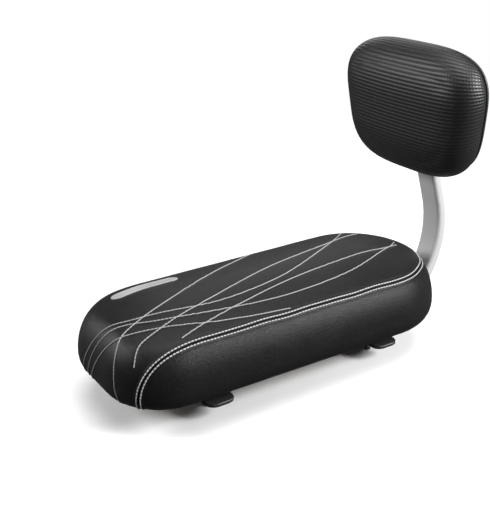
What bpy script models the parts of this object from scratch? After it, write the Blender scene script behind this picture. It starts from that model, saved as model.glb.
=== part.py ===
"""Child bike seat: an upholstered seat board that clamps to a rear rack, with a backrest on a bent post.

Metres, +Z up. The origin is the centre of the seat board's underside, the face that lies on the rack.
+Y runs to the rear of the bicycle and +X to the rider's left.
"""

import math

import bmesh
import bpy
import numpy as np
from mathutils import Vector

# Clearances
FIT_GAP = 0.0003
HOLE_CLEARANCE = 0.0004
BOARD_GAP = 0.0016
POCKET_GAP = 0.0010

# Seat cushion
SEAT_LENGTH = 0.340
SEAT_FRONT_WIDTH = 0.142
SEAT_REAR_WIDTH = 0.148
SEAT_FRONT_RADIUS = 0.052
SEAT_REAR_RADIUS = 0.0735
SEAT_EDGE_HEIGHT = 0.0535
SEAT_CROWN_RISE = 0.0080
SEAT_WIDEST_HEIGHT = 0.0125
SEAT_SHOULDER_RUN = 0.0256
SEAT_UNDERCUT = 0.0092
COVER_THICKNESS = 0.0013
HEM_WIDTH = 0.0150
SEAT_BOARD_THICKNESS = 0.0090
BOARD_EDGE = 0.0010

# Rack clamps
FRONT_BOLT_INSET = 0.085
REAR_BOLT_INSET = 0.080
BOLT_SPACING = 0.064
CLAMP_RAIL_SPACE = 0.0130
CLAMP_PLATE_LENGTH = 0.120
CLAMP_PLATE_WIDTH = 0.026
CLAMP_PLATE_THICKNESS = 0.0030
CLAMP_PLATE_CORNER = 0.0078
CLAMP_SLOT_LENGTH = 0.022
SLOT_END_SHARE = 0.98
PLATE_EDGE = 0.0004

# Foot plate under the rear of the board
FOOT_PLATE_LENGTH = 0.062
FOOT_PLATE_FRONT_WIDTH = 0.088
FOOT_PLATE_REAR_WIDTH = 0.056
FOOT_PLATE_THICKNESS = 0.0030
FOOT_PLATE_CORNER = 0.008
FOOT_PLATE_HEM_CLEARANCE = 0.010
FOOT_BOLT_SPACING = 0.048
FOOT_BOLT_INSET = 0.014

# Post of flat steel tube
POST_WIDTH = 0.024
POST_DEPTH = 0.011
POST_CORNER = 0.004
POST_WALL = 0.0015
POST_BEND_INSET = 0.0162
POST_RISE_DEG = 62.0
POST_KNEE_HEIGHT = 0.0524
POST_NECK_DROP = 0.0052
POST_TOP_REACH = 0.034
POST_FOOT_RADIUS = 0.028
POST_KNEE_RADIUS = 0.093
POST_NECK_RADIUS = 0.060
POST_CLAMP_CLEARANCE = 0.0015
PLUG_FLANGE = 0.0016
PLUG_EDGE = 0.0004
PLUG_DEPTH = 0.009

# Backrest pad
PAD_SETBACK = 0.0195
PAD_HEIGHT_ABOVE_RACK = 0.183
PAD_LEAN_DEG = 6.0
PAD_WIDTH = 0.157
PAD_TAPER = 0.11
PAD_HEIGHT = 0.118
PAD_TOP_POWER = 3.1
PAD_BOTTOM_POWER = 3.6
PAD_SPINE_LENGTH = 0.029
PAD_DEPTH = 0.037
PAD_FRONT_RUN = 0.020
PAD_CROWN_RISE = 0.0035
PAD_REAR_RUN = 0.0060
PAD_REAR_DEPTH = 0.0090
PAD_HEM_WIDTH = 0.012
PAD_BOARD_THICKNESS = 0.0050
PAD_BOARD_EDGE = 0.0005
BACK_PANEL_THICKNESS = 0.0024
BACK_PANEL_EDGE = 0.0009
BACK_PANEL_INSET = 0.0030
PAD_BOLT_SPACING = 0.044

# M6 fasteners
THREAD_RADIUS = 0.0030
THREAD_TIP_RADIUS = 0.0024
CARRIAGE_BOLT_LENGTH = 0.040
CARRIAGE_HEAD_RADIUS = 0.0080
CARRIAGE_HEAD_HEIGHT = 0.0033
CARRIAGE_HEAD_RIM = 0.0004
CARRIAGE_NECK_OVERLAP = 0.0011
CARRIAGE_NECK_WIDTH = 0.0063
CARRIAGE_NECK_DEPTH = 0.0035
HEX_ACROSS_FLATS = 0.010
HEX_HEAD_HEIGHT = 0.0040
HEX_FACE_RADIUS = 0.0049
HEX_CHAMFER_DEG = 30.0
NUT_HEIGHT = 0.0050
FOOT_BOLT_LENGTH = 0.016
PAD_BOLT_LENGTH = 0.025
WASHER_RADIUS = 0.0060
WASHER_THICKNESS = 0.0016
WASHER_EDGE = 0.0003
SPRING_WASHER_RADIUS = 0.0055
SPRING_WASHER_THICKNESS = 0.0016
SPRING_WASHER_SPLIT_DEG = 14.0
TEE_FLANGE_RADIUS = 0.0090
TEE_FLANGE_THICKNESS = 0.0012
TEE_BARREL_RADIUS = 0.0042
TEE_BARREL_DEPTH = 0.0075
PAD_TEE_BARREL_DEPTH = 0.0040

# Mesh steps
BEND_STEPS = 6
ARC_STEPS = 3
POST_CORNER_STEPS = 2
DOME_STEPS = 4
SEAT_CORNER_STEPS = 9
PAD_OUTLINE_STEPS = 22
OUTLINE_SAMPLES = 2001
COVER_CROWN_STEPS = 3
COVER_SHOULDER_STEPS = 6
COVER_TUCK_STEPS = 5
FOAM_CROWN_STEPS = 2
FOAM_SHOULDER_STEPS = 5
SIDE_STEPS = 4
ROUND_STEPS = 14
HEAD_STEPS = 14

# How shapes are cut, joined and shaded
CUT_OVERRUN = 0.0010
WELD_DISTANCE = 0.00001
FILLET_ROOM_SHARE = 0.49
REAR_ARC_SHARE = 0.99
STRAIGHT_DEG = 0.2
SHARP_DEG = 35.0

# Places that follow from the sizes
SEAT_REAR = SEAT_LENGTH / 2
HOLE_RADIUS = THREAD_RADIUS + HOLE_CLEARANCE
FRONT_BOLT_Y = FRONT_BOLT_INSET - SEAT_LENGTH / 2
REAR_BOLT_Y = SEAT_REAR - REAR_BOLT_INSET
HEM_DROP = COVER_THICKNESS + FIT_GAP
SEAT_HEM_END = SEAT_UNDERCUT + HEM_WIDTH
FOOT_PLATE_REAR = SEAT_REAR - SEAT_HEM_END - FOOT_PLATE_HEM_CLEARANCE
FOOT_PLATE_FRONT = FOOT_PLATE_REAR - FOOT_PLATE_LENGTH
FOOT_BOLT_Y = FOOT_PLATE_REAR - FOOT_BOLT_INSET
FOOT_PLATE_TOP = -FIT_GAP
FOOT_PLATE_UNDERSIDE = FOOT_PLATE_TOP - FOOT_PLATE_THICKNESS
POST_RUN_Z = FOOT_PLATE_UNDERSIDE - FIT_GAP - POST_DEPTH / 2
POST_START_Y = REAR_BOLT_Y + CLAMP_PLATE_WIDTH / 2 + POST_CLAMP_CLEARANCE + PLUG_FLANGE + FIT_GAP
CLAMP_TOP = -CLAMP_RAIL_SPACE
CLAMP_UNDERSIDE = CLAMP_TOP - CLAMP_PLATE_THICKNESS

PARTS = "child_bike_seat"
CUTTERS = "cutters"


def clear_scene():
    """Removes every object and makes the two collections."""
    for old in list(bpy.data.objects):
        bpy.data.objects.remove(old)
    for name in (PARTS, CUTTERS):
        bpy.context.scene.collection.children.link(bpy.data.collections.new(name))


def add_object(name, data, collection=PARTS):
    """Links a new object with this mesh or curve."""
    made = bpy.data.objects.new(name, data)
    bpy.data.collections[collection].objects.link(made)
    return made


def as_cutter(made):
    """Marks an object as a cutter, which isn't part of the seat."""
    made.hide_render = True
    made.display_type = "WIRE"
    return made


def material(name, colour, roughness, metallic=0.0):
    """A plain Principled material."""
    made = bpy.data.materials.new(name)
    made.use_nodes = True
    shader = made.node_tree.nodes["Principled BSDF"]
    shader.inputs["Base Color"].default_value = (*colour, 1.0)
    shader.inputs["Roughness"].default_value = roughness
    shader.inputs["Metallic"].default_value = metallic
    return made


def finish(made, name, colour, roughness, metallic=0.0):
    """Gives an object its own material and smooth round faces."""
    made.data.materials.clear()
    made.data.materials.append(material(name, colour, roughness, metallic))
    if made.type == "MESH":
        made.data.shade_smooth()
        made.data.set_sharp_from_angle(angle=math.radians(SHARP_DEG))
    return made


def final_mesh(made):
    """The object's mesh with its modifiers applied and its doubles welded. The object is removed."""
    graph = bpy.context.evaluated_depsgraph_get()
    mesh = bpy.data.meshes.new_from_object(made.evaluated_get(graph))
    bpy.data.objects.remove(made)
    loose = bmesh.new()
    loose.from_mesh(mesh)
    bmesh.ops.remove_doubles(loose, verts=loose.verts, dist=WELD_DISTANCE)
    loose.to_mesh(mesh)
    loose.free()
    return mesh


def arc_fillet(before, corner, after, radius, steps):
    """Points of the arc of this radius that rounds a corner, limited to what its two sides have room for."""
    to_start = (before - corner).normalized()
    to_end = (after - corner).normalized()
    half_turn = (math.pi - to_start.angle(to_end)) / 2
    room = FILLET_ROOM_SHARE * min((before - corner).length, (after - corner).length)
    tangent = min(radius * math.tan(half_turn), room)
    used_radius = tangent / math.tan(half_turn)
    bisector = (to_start + to_end).normalized()
    centre = corner + bisector * (used_radius / math.cos(half_turn))
    first = corner + to_start * tangent - centre
    last = corner + to_end * tangent - centre
    turn = first.angle_signed(last)
    points = []
    for i in range(steps + 1):
        angle = -turn * i / steps
        spoke = Vector(
            (
                first.x * math.cos(angle) - first.y * math.sin(angle),
                first.x * math.sin(angle) + first.y * math.cos(angle),
            )
        )
        points.append((centre + spoke, spoke.normalized()))
    return points


def rounded_path(corners, radii, steps=BEND_STEPS):
    """A flat path through the corners with each inner corner rounded, as a list of points."""
    corners = [Vector(c) for c in corners]
    points = [corners[0]]
    for i, radius in enumerate(radii, start=1):
        arc = arc_fillet(corners[i - 1], corners[i], corners[i + 1], radius, steps)
        points += [p for p, _ in arc]
    points.append(corners[-1])
    return points


def half_outline(front, rear, front_half, rear_half, front_radius, rear_radius, steps):
    """The +X half of a rounded outline, front centre to rear centre: points and outward normals."""
    corners = [
        Vector((0.0, front)),
        Vector((front_half, front)),
        Vector((rear_half, rear)),
        Vector((0.0, rear)),
    ]
    near = Vector((-front_half, front))
    front_arc = arc_fillet(near, corners[1], corners[2], front_radius, steps)
    far = Vector((-rear_half, rear))
    used_radius = min(rear_radius, REAR_ARC_SHARE * rear_half)
    rear_arc = arc_fillet(corners[1], corners[2], far, used_radius, steps)
    points = [corners[0]] + [p for p, _ in front_arc]
    normals = [Vector((0.0, -1.0))] + [n for _, n in front_arc]
    start, end = front_arc[-1], rear_arc[0]
    for i in range(1, SIDE_STEPS):
        points.append(start[0].lerp(end[0], i / SIDE_STEPS))
        normals.append(end[1])
    points += [p for p, _ in rear_arc] + [corners[3]]
    normals += [n for _, n in rear_arc] + [Vector((0.0, 1.0))]
    return np.array([tuple(p) for p in points]), np.array([tuple(n) for n in normals])


def bowed_half_outline(width, height, taper, top_power, bottom_power, steps):
    """The +X half of a superellipse that widens upward, bottom centre to top centre: points and normals."""
    turns = np.linspace(-math.pi / 2, math.pi / 2, OUTLINE_SAMPLES)
    power = np.where(turns > 0, top_power, bottom_power)
    rise = np.sign(turns) * np.abs(np.sin(turns)) ** (2 / power)
    reach = width / 2 * (1 + taper * rise) * np.maximum(np.cos(turns), 0.0) ** (2 / power)
    points = np.column_stack([reach, height / 2 * rise])
    along = np.gradient(points, axis=0)
    facing = np.unwrap(np.arctan2(-along[:, 0], along[:, 1]))
    lengths = np.linalg.norm(np.diff(points, axis=0), axis=1)
    travelled = np.concatenate([[0.0], np.cumsum(lengths)])
    turned = np.clip((facing + math.pi / 2) / math.pi, 0.0, 1.0)
    measure = travelled / travelled[-1] + turned
    picks = np.linspace(measure[0], measure[-1], steps + 1)
    points = np.column_stack([np.interp(picks, measure, points[:, axis]) for axis in (0, 1)])
    facing = np.interp(picks, measure, facing)
    facing[0], facing[-1] = -math.pi / 2, math.pi / 2
    points[0, 0] = points[-1, 0] = 0.0
    return points, np.column_stack([np.cos(facing), np.sin(facing)])


def rectangle(width, depth, corner, centre=(0.0, 0.0), steps=ARC_STEPS):
    """A rounded rectangle as a closed list of points."""
    return rounded_loop(
        [
            (centre[0] - width / 2, centre[1] - depth / 2),
            (centre[0] + width / 2, centre[1] - depth / 2),
            (centre[0] + width / 2, centre[1] + depth / 2),
            (centre[0] - width / 2, centre[1] + depth / 2),
        ],
        corner,
        steps,
    )


def rounded_loop(corners, radius, steps=ARC_STEPS):
    """A closed outline with every corner rounded."""
    corners = [Vector(c) for c in corners]
    count = len(corners)
    points = []
    for i in range(count):
        arc = arc_fillet(corners[i - 1], corners[i], corners[(i + 1) % count], radius, steps)
        points += [tuple(p) for p, _ in arc]
    return points


def circle(radius, centre, steps=ROUND_STEPS):
    """A circle as a closed list of points."""
    turns = [2 * math.pi * i / steps for i in range(steps)]
    return [(centre[0] + radius * math.cos(t), centre[1] + radius * math.sin(t)) for t in turns]


def mirrored(outline):
    """A closed outline from its +X half, which starts and ends on the middle line."""
    return [tuple(p) for p in outline] + [(-p[0], p[1]) for p in outline[-2:0:-1]]


def turning_points(points):
    """The closed outline's points without those that lie on a straight stretch."""
    kept = []
    for i, point in enumerate(points):
        here = Vector(point)
        along = (here - Vector(points[i - 1])).normalized()
        onward = (Vector(points[(i + 1) % len(points)]) - here).normalized()
        if abs(along.angle_signed(onward)) > math.radians(STRAIGHT_DEG):
            kept.append(point)
    return kept


def add_spline(curve, points, cyclic):
    """Adds a spline of straight lines through the points."""
    spline = curve.splines.new("POLY")
    spline.points.add(len(points) - 1)
    rows = [(*p, 0.0, 1.0) if len(p) == 2 else (*p, 1.0) for p in points]
    spline.points.foreach_set("co", np.array(rows, "f").ravel())
    spline.use_cyclic_u = cyclic


def plate(name, outlines, low, high, edge, collection=PARTS):
    """A flat plate between two heights with chamfered edges; outlines after the first are its holes."""
    curve = bpy.data.curves.new(name, "CURVE")
    curve.dimensions = "2D"
    curve.fill_mode = "BOTH"
    curve.extrude = (high - low) / 2 - edge
    curve.bevel_depth = edge
    curve.bevel_resolution = 0
    curve.offset = -edge
    for points in outlines:
        add_spline(curve, turning_points(points), True)
    guide = add_object(name + "_curve", curve, collection)
    mesh = final_mesh(guide)
    mesh.name = name
    for vertex in mesh.vertices:
        vertex.co.z += (low + high) / 2
    return add_object(name, mesh, collection)


def turned(name, profile, steps=ROUND_STEPS, closed=False, collection=PARTS):
    """Turns a profile of (radius, height) points, outer side from the top down, about Z."""
    mesh = bpy.data.meshes.new(name)
    count = len(profile)
    edges = [(i, i + 1) for i in range(count - 1)]
    if closed:
        edges.append((count - 1, 0))
    mesh.from_pydata([(r, 0.0, z) for r, z in profile], edges, [])
    made = add_object(name, mesh, collection)
    screw = made.modifiers.new("turn", "SCREW")
    screw.steps = steps
    screw.render_steps = steps
    screw.use_merge_vertices = True
    screw.merge_threshold = WELD_DISTANCE
    return made


def boolean(made, other, operation):
    """Adds an exact Boolean with another object, which becomes a cutter."""
    modifier = made.modifiers.new(operation.lower(), "BOOLEAN")
    modifier.operation = operation
    modifier.solver = "EXACT"
    modifier.object = as_cutter(other)
    return made


def cylinder_cutter(name, radius, low, high, centre, steps=ROUND_STEPS, parent=None):
    """A closed cylinder along Z, used to cut a hole or a pocket."""
    profile = [(0.0, high), (radius, high), (radius, low), (0.0, low)]
    made = turned(name, profile, steps, collection=CUTTERS)
    made.location = (centre[0], centre[1], 0.0)
    made.parent = parent
    return as_cutter(made)


def box_cutter(name, width, low, high, centre):
    """A closed square block, used to cut a socket for a square neck."""
    mesh = bpy.data.meshes.new(name)
    block = bmesh.new()
    bmesh.ops.create_cube(block, size=1.0)
    bmesh.ops.scale(block, vec=(width, width, high - low), verts=block.verts)
    block.to_mesh(mesh)
    block.free()
    made = add_object(name, mesh, CUTTERS)
    made.location = (centre[0], centre[1], (low + high) / 2)
    return as_cutter(made)


def joined_cutters(name, cutters):
    """One cutter mesh from several that don't touch each other."""
    whole = bmesh.new()
    graph = bpy.context.evaluated_depsgraph_get()
    for cutter in cutters:
        mesh = bpy.data.meshes.new_from_object(cutter.evaluated_get(graph))
        mesh.transform(cutter.matrix_world)
        whole.from_mesh(mesh)
    bmesh.ops.remove_doubles(whole, verts=whole.verts, dist=WELD_DISTANCE)
    merged = bpy.data.meshes.new(name)
    whole.to_mesh(merged)
    whole.free()
    for cutter in cutters:
        bpy.data.objects.remove(cutter)
    return as_cutter(add_object(name, merged, CUTTERS))


def grid_mesh(name, rings):
    """An open surface through rings of points, each ring a little further out than the one before."""
    rings = np.array(rings)
    rows, columns = rings.shape[:2]
    index = np.arange(rows * columns).reshape(rows, columns)
    corners = (index[:-1, :-1], index[1:, :-1], index[1:, 1:], index[:-1, 1:])
    faces = np.stack([c.ravel() for c in corners], axis=1)
    mesh = bpy.data.meshes.new(name)
    mesh.from_pydata(rings.reshape(-1, 3).tolist(), [], faces.tolist())
    surface = bmesh.new()
    surface.from_mesh(mesh)
    bmesh.ops.remove_doubles(surface, verts=surface.verts, dist=WELD_DISTANCE)
    surface.to_mesh(mesh)
    surface.free()
    return mesh


def mirror_across_x(made):
    """Makes the other half, joined at the middle."""
    mirror = made.modifiers.new("mirror", "MIRROR")
    mirror.use_axis = (True, False, False)
    mirror.use_clip = True
    mirror.merge_threshold = WELD_DISTANCE
    return made


class Cushion:
    """A pad on a rounded outline: a crown, a shoulder that falls to the widest line, and a tucked-in edge.

    Each height runs up from the pad's mounting face, and depth is how far a surface lies inside the cover.
    """

    def __init__(self, outline, spine, edge_height, widest, shoulder_run, crown, tuck_run, bottom):
        self.points, self.normals = outline
        self.spine = spine
        self.edge_height = edge_height
        self.widest = widest
        self.run = shoulder_run
        self.crown = crown
        self.tuck_run = tuck_run
        self.bottom = bottom

    def tuck_inset(self, height):
        """How far the cover's outside is tucked in at a height below the widest line."""
        share = (self.widest - height) / (self.widest - self.bottom)
        return self.tuck_run * (1 - math.sqrt(max(0.0, 1 - share * share)))

    def ring(self, inset, height):
        """The outline moved in by inset, at this height."""
        flat = self.points - self.normals * inset
        return np.column_stack([flat, np.full(len(flat), height)])

    def toward_spine(self, ring, share, height):
        """The ring moved this share of the way to the cushion's middle line."""
        middle = np.column_stack([np.zeros(len(ring)), np.clip(ring[:, 1], *self.spine)])
        flat = ring[:, :2] + (middle - ring[:, :2]) * share
        return np.column_stack([flat, np.full(len(flat), height)])

    def top(self, depth, crown_steps, shoulder_steps):
        """Rings from the middle line over the crown and down the shoulder to the widest line."""
        run = self.run - depth
        fall = self.edge_height - self.widest - depth
        half_width = self.points[:, 0].max() - self.run
        slope = 2 * self.crown / half_width
        last = math.atan2(fall, run * slope)
        inset = depth + run * (1 - math.cos(last))
        height = self.widest + fall * math.sin(last)
        edge = self.ring(inset, height)
        rings = []
        for i in range(crown_steps, 0, -1):
            share = i / crown_steps
            rise = self.crown * (1 - (1 - share) ** 2)
            rings.append(self.toward_spine(edge, share, height + rise))
        for i in range(shoulder_steps + 1):
            angle = last * (1 - i / shoulder_steps)
            inset = depth + run * (1 - math.cos(angle))
            rings.append(self.ring(inset, self.widest + fall * math.sin(angle)))
        return rings

    def tuck(self, depth, stop, steps):
        """Rings from below the widest line in to the height where the tuck stops."""
        run = self.tuck_run - depth
        fall = self.widest - self.bottom - depth
        end = math.asin(min(1.0, (self.widest - stop) / fall))
        rings = []
        for i in range(1, steps + 1):
            angle = end * i / steps
            inset = depth + run * (1 - math.cos(angle))
            rings.append(self.ring(inset, self.widest - fall * math.sin(angle)))
        return rings


def cover_shell(name, cushion, hem_end):
    """The sewn cover: one skin over the crown and the sides, turned under the board as a hem."""
    rings = cushion.top(0.0, COVER_CROWN_STEPS, COVER_SHOULDER_STEPS)
    rings += cushion.tuck(0.0, cushion.bottom, COVER_TUCK_STEPS)
    rings.append(cushion.ring(hem_end, cushion.bottom))
    made = mirror_across_x(add_object(name, grid_mesh(name, rings)))
    solidify = made.modifiers.new("leather", "SOLIDIFY")
    solidify.thickness = COVER_THICKNESS
    solidify.offset = -1.0
    return made


def foam_block(name, cushion, board_inset, board_top, lip):
    """The foam under the cover: flat on the board, with a lip that hangs down the board's side."""
    depth = COVER_THICKNESS + FIT_GAP
    rings = cushion.top(depth, FOAM_CROWN_STEPS, FOAM_SHOULDER_STEPS) + cushion.tuck(depth, lip, 1)
    inner = cushion.ring(board_inset - FIT_GAP, lip)
    seat = cushion.ring(board_inset - FIT_GAP, board_top)
    rings += [inner, seat]
    rings += [cushion.toward_spine(seat, 1.0, board_top)]
    return mirror_across_x(add_object(name, grid_mesh(name, rings)))


def stud_centres():
    """The four clamp bolts' places, with the names of their corners."""
    half = BOLT_SPACING / 2
    return {
        "front_left": (half, FRONT_BOLT_Y),
        "front_right": (-half, FRONT_BOLT_Y),
        "rear_left": (half, REAR_BOLT_Y),
        "rear_right": (-half, REAR_BOLT_Y),
    }


def foot_bolt_centres():
    """The two bolts that hold the foot plate to the board."""
    half = FOOT_BOLT_SPACING / 2
    return {"left": (half, FOOT_BOLT_Y), "right": (-half, FOOT_BOLT_Y)}


def seat_cushion():
    """The seat's shape, measured up from the rack."""
    outline = half_outline(
        -SEAT_LENGTH / 2,
        SEAT_REAR,
        SEAT_FRONT_WIDTH / 2,
        SEAT_REAR_WIDTH / 2,
        SEAT_FRONT_RADIUS,
        SEAT_REAR_RADIUS,
        SEAT_CORNER_STEPS,
    )
    spine = (SEAT_FRONT_WIDTH / 2 - SEAT_LENGTH / 2, SEAT_REAR - SEAT_REAR_WIDTH / 2)
    return Cushion(
        outline,
        spine,
        SEAT_EDGE_HEIGHT,
        SEAT_WIDEST_HEIGHT,
        SEAT_SHOULDER_RUN,
        SEAT_CROWN_RISE,
        SEAT_UNDERCUT,
        -HEM_DROP,
    )


def carriage_socket(name, centre):
    """The hole and square socket that a carriage bolt leaves in a board."""
    above = SEAT_BOARD_THICKNESS + CUT_OVERRUN
    bore = cylinder_cutter(name + "_bore", HOLE_RADIUS, -CUT_OVERRUN, above, centre)
    width = CARRIAGE_NECK_WIDTH + 2 * HOLE_CLEARANCE
    low = SEAT_BOARD_THICKNESS - CARRIAGE_NECK_DEPTH - HOLE_CLEARANCE
    neck = box_cutter(name + "_neck", width, low, above + CUT_OVERRUN, centre)
    return bore, neck


def make_seat():
    """Cover, foam and plywood board of the seat."""
    cushion = seat_cushion()
    cover = cover_shell("seat_cover", cushion, SEAT_HEM_END)
    finish(cover, "black_leatherette", (0.030, 0.030, 0.032), 0.45)

    board_inset = cushion.tuck_inset(0.0) + COVER_THICKNESS + BOARD_GAP
    board_outline = mirrored(cushion.points - cushion.normals * board_inset)
    board = plate("seat_board", [board_outline], 0.0, SEAT_BOARD_THICKNESS, BOARD_EDGE)
    for name, centre in stud_centres().items():
        for cutter in carriage_socket(name, centre):
            boolean(board, cutter, "DIFFERENCE")
    for name, centre in foot_bolt_centres().items():
        radius = TEE_BARREL_RADIUS + HOLE_CLEARANCE
        above = SEAT_BOARD_THICKNESS + CUT_OVERRUN
        cutter = cylinder_cutter("tee_" + name, radius, -CUT_OVERRUN, above, centre)
        boolean(board, cutter, "DIFFERENCE")
    board = add_object("seat_board", final_mesh(board))
    split_bearing_face(board)
    finish(board, "plywood", (0.52, 0.36, 0.20), 0.75)

    top = SEAT_BOARD_THICKNESS + FIT_GAP
    foam = foam_block("seat_foam", cushion, board_inset, top, SEAT_BOARD_THICKNESS / 2)
    pockets = []
    for name, centre in stud_centres().items():
        radius = CARRIAGE_HEAD_RADIUS + POCKET_GAP
        height = SEAT_BOARD_THICKNESS + CARRIAGE_HEAD_HEIGHT + POCKET_GAP
        pockets.append(cylinder_cutter("pocket_" + name, radius, top - CUT_OVERRUN, height, centre))
    for name, centre in foot_bolt_centres().items():
        radius = TEE_FLANGE_RADIUS + POCKET_GAP
        height = SEAT_BOARD_THICKNESS + TEE_FLANGE_THICKNESS + 2 * POCKET_GAP
        pockets.append(cylinder_cutter("pocket_tee_" + name, radius, top - CUT_OVERRUN, height, centre))
    bpy.context.view_layer.update()
    boolean(foam, joined_cutters("seat_foam_pockets", pockets), "DIFFERENCE")
    finish(foam, "seat_foam", (0.72, 0.68, 0.50), 0.95)


def split_bearing_face(board):
    """Marks off the bare middle of the underside, clear of the hem and the plates, as a face of its own."""
    mesh = bmesh.new()
    mesh.from_mesh(board.data)
    half_width = SEAT_FRONT_WIDTH / 2 - SEAT_HEM_END
    front = FRONT_BOLT_Y + CLAMP_PLATE_WIDTH
    rear = FOOT_PLATE_FRONT - CLAMP_PLATE_WIDTH / 2
    cuts = (
        ((half_width, 0.0, 0.0), (1.0, 0.0, 0.0)),
        ((-half_width, 0.0, 0.0), (1.0, 0.0, 0.0)),
        ((0.0, front, 0.0), (0.0, 1.0, 0.0)),
        ((0.0, rear, 0.0), (0.0, 1.0, 0.0)),
    )
    for point, normal in cuts:
        flat = [v for v in mesh.verts if abs(v.co.z) < FIT_GAP / 2]
        flat += [e for e in mesh.edges if all(abs(v.co.z) < FIT_GAP / 2 for v in e.verts)]
        flat += [f for f in mesh.faces if all(abs(v.co.z) < FIT_GAP / 2 for v in f.verts)]
        bmesh.ops.bisect_plane(mesh, geom=flat, plane_co=point, plane_no=normal, dist=WELD_DISTANCE)
    middle = []
    for face in mesh.faces:
        centre = face.calc_center_median()
        if abs(centre.z) < FIT_GAP / 2 and abs(centre.x) < half_width and front < centre.y < rear:
            middle.append(face)
    bmesh.ops.dissolve_faces(mesh, faces=middle, use_verts=False)
    mesh.to_mesh(board.data)
    mesh.free()


def chamfered_hex(name, height, both_ends=False):
    """A hexagon block standing on Z = 0, with the round chamfer that nuts and bolt heads have."""
    mesh = bpy.data.meshes.new(name)
    block = bmesh.new()
    radius = HEX_ACROSS_FLATS / math.sqrt(3)
    bmesh.ops.create_cone(
        block, cap_ends=True, segments=6, radius1=radius, radius2=radius, depth=height
    )
    bmesh.ops.translate(block, vec=(0.0, 0.0, height / 2), verts=block.verts)
    block.to_mesh(mesh)
    block.free()
    made = add_object(name, mesh)
    wide = radius + CUT_OVERRUN
    rise = (wide - HEX_FACE_RADIUS) * math.tan(math.radians(HEX_CHAMFER_DEG))
    profile = [(0.0, height), (HEX_FACE_RADIUS, height), (wide, height - rise)]
    profile += [(wide, rise), (HEX_FACE_RADIUS, 0.0)] if both_ends else [(wide, -CUT_OVERRUN)]
    profile += [(0.0, 0.0 if both_ends else -CUT_OVERRUN)]
    shell = turned(name + "_chamfer", profile, ROUND_STEPS, collection=CUTTERS)
    return boolean(made, shell, "INTERSECT")


def hex_bolt_mesh(length):
    """A hexagon bolt along Z: the head's bearing face at 0, the head above and the shank below."""
    head = chamfered_hex("hex_head", HEX_HEAD_HEIGHT)
    profile = [
        (0.0, HEX_HEAD_HEIGHT / 2),
        (THREAD_RADIUS, HEX_HEAD_HEIGHT / 2),
        (THREAD_RADIUS, THREAD_RADIUS - THREAD_TIP_RADIUS - length),
        (THREAD_TIP_RADIUS, -length),
        (0.0, -length),
    ]
    shank = turned("hex_shank", profile, ROUND_STEPS, collection=CUTTERS)
    return final_mesh(boolean(head, shank, "UNION"))


def carriage_bolt_mesh():
    """A carriage bolt along Z: the domed head's underside at 0, a square neck and the shank below."""
    profile = [(0.0, CARRIAGE_HEAD_HEIGHT)]
    for i in range(1, DOME_STEPS + 1):
        angle = math.radians(90.0 * i / DOME_STEPS)
        dome = CARRIAGE_HEAD_RIM + (CARRIAGE_HEAD_HEIGHT - CARRIAGE_HEAD_RIM) * math.cos(angle)
        profile.append((CARRIAGE_HEAD_RADIUS * math.sin(angle), dome))
    profile += [
        (CARRIAGE_HEAD_RADIUS, 0.0),
        (THREAD_RADIUS, 0.0),
        (THREAD_RADIUS, THREAD_RADIUS - THREAD_TIP_RADIUS - CARRIAGE_BOLT_LENGTH),
        (THREAD_TIP_RADIUS, -CARRIAGE_BOLT_LENGTH),
        (0.0, -CARRIAGE_BOLT_LENGTH),
    ]
    bolt = turned("carriage_blank", profile, HEAD_STEPS)
    neck = box_cutter(
        "carriage_neck", CARRIAGE_NECK_WIDTH, -CARRIAGE_NECK_DEPTH, CARRIAGE_NECK_OVERLAP, (0.0, 0.0)
    )
    return final_mesh(boolean(bolt, neck, "UNION"))


def nut_mesh():
    """A hexagon nut standing on Z = 0."""
    nut = chamfered_hex("nut_blank", NUT_HEIGHT, both_ends=True)
    above = NUT_HEIGHT + CUT_OVERRUN
    bore = cylinder_cutter("nut_bore", HOLE_RADIUS, -CUT_OVERRUN, above, (0.0, 0.0))
    return final_mesh(boolean(nut, bore, "DIFFERENCE"))


def washer_mesh():
    """A plain washer standing on Z = 0, with a slightly rounded upper edge."""
    profile = [
        (WASHER_RADIUS - WASHER_EDGE, WASHER_THICKNESS),
        (WASHER_RADIUS, WASHER_THICKNESS - WASHER_EDGE),
        (WASHER_RADIUS, 0.0),
        (HOLE_RADIUS, 0.0),
        (HOLE_RADIUS, WASHER_THICKNESS),
    ]
    return final_mesh(turned("washer_blank", profile, ROUND_STEPS, closed=True))


def spring_washer_mesh():
    """A split spring washer standing on Z = 0: a square section carried round most of a circle."""
    section = bmesh.new()
    corners = [
        (HOLE_RADIUS, 0.0, 0.0),
        (SPRING_WASHER_RADIUS, 0.0, 0.0),
        (SPRING_WASHER_RADIUS, 0.0, SPRING_WASHER_THICKNESS),
        (HOLE_RADIUS, 0.0, SPRING_WASHER_THICKNESS),
    ]
    face = section.faces.new([section.verts.new(c) for c in corners])
    bmesh.ops.spin(
        section,
        geom=[face, *face.edges, *face.verts],
        cent=(0.0, 0.0, 0.0),
        axis=(0.0, 0.0, 1.0),
        dvec=(0.0, 0.0, 0.0),
        angle=math.radians(360.0 - SPRING_WASHER_SPLIT_DEG),
        steps=ROUND_STEPS,
    )
    bmesh.ops.recalc_face_normals(section, faces=section.faces)
    mesh = bpy.data.meshes.new("spring_washer_blank")
    section.to_mesh(mesh)
    section.free()
    return mesh


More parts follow.
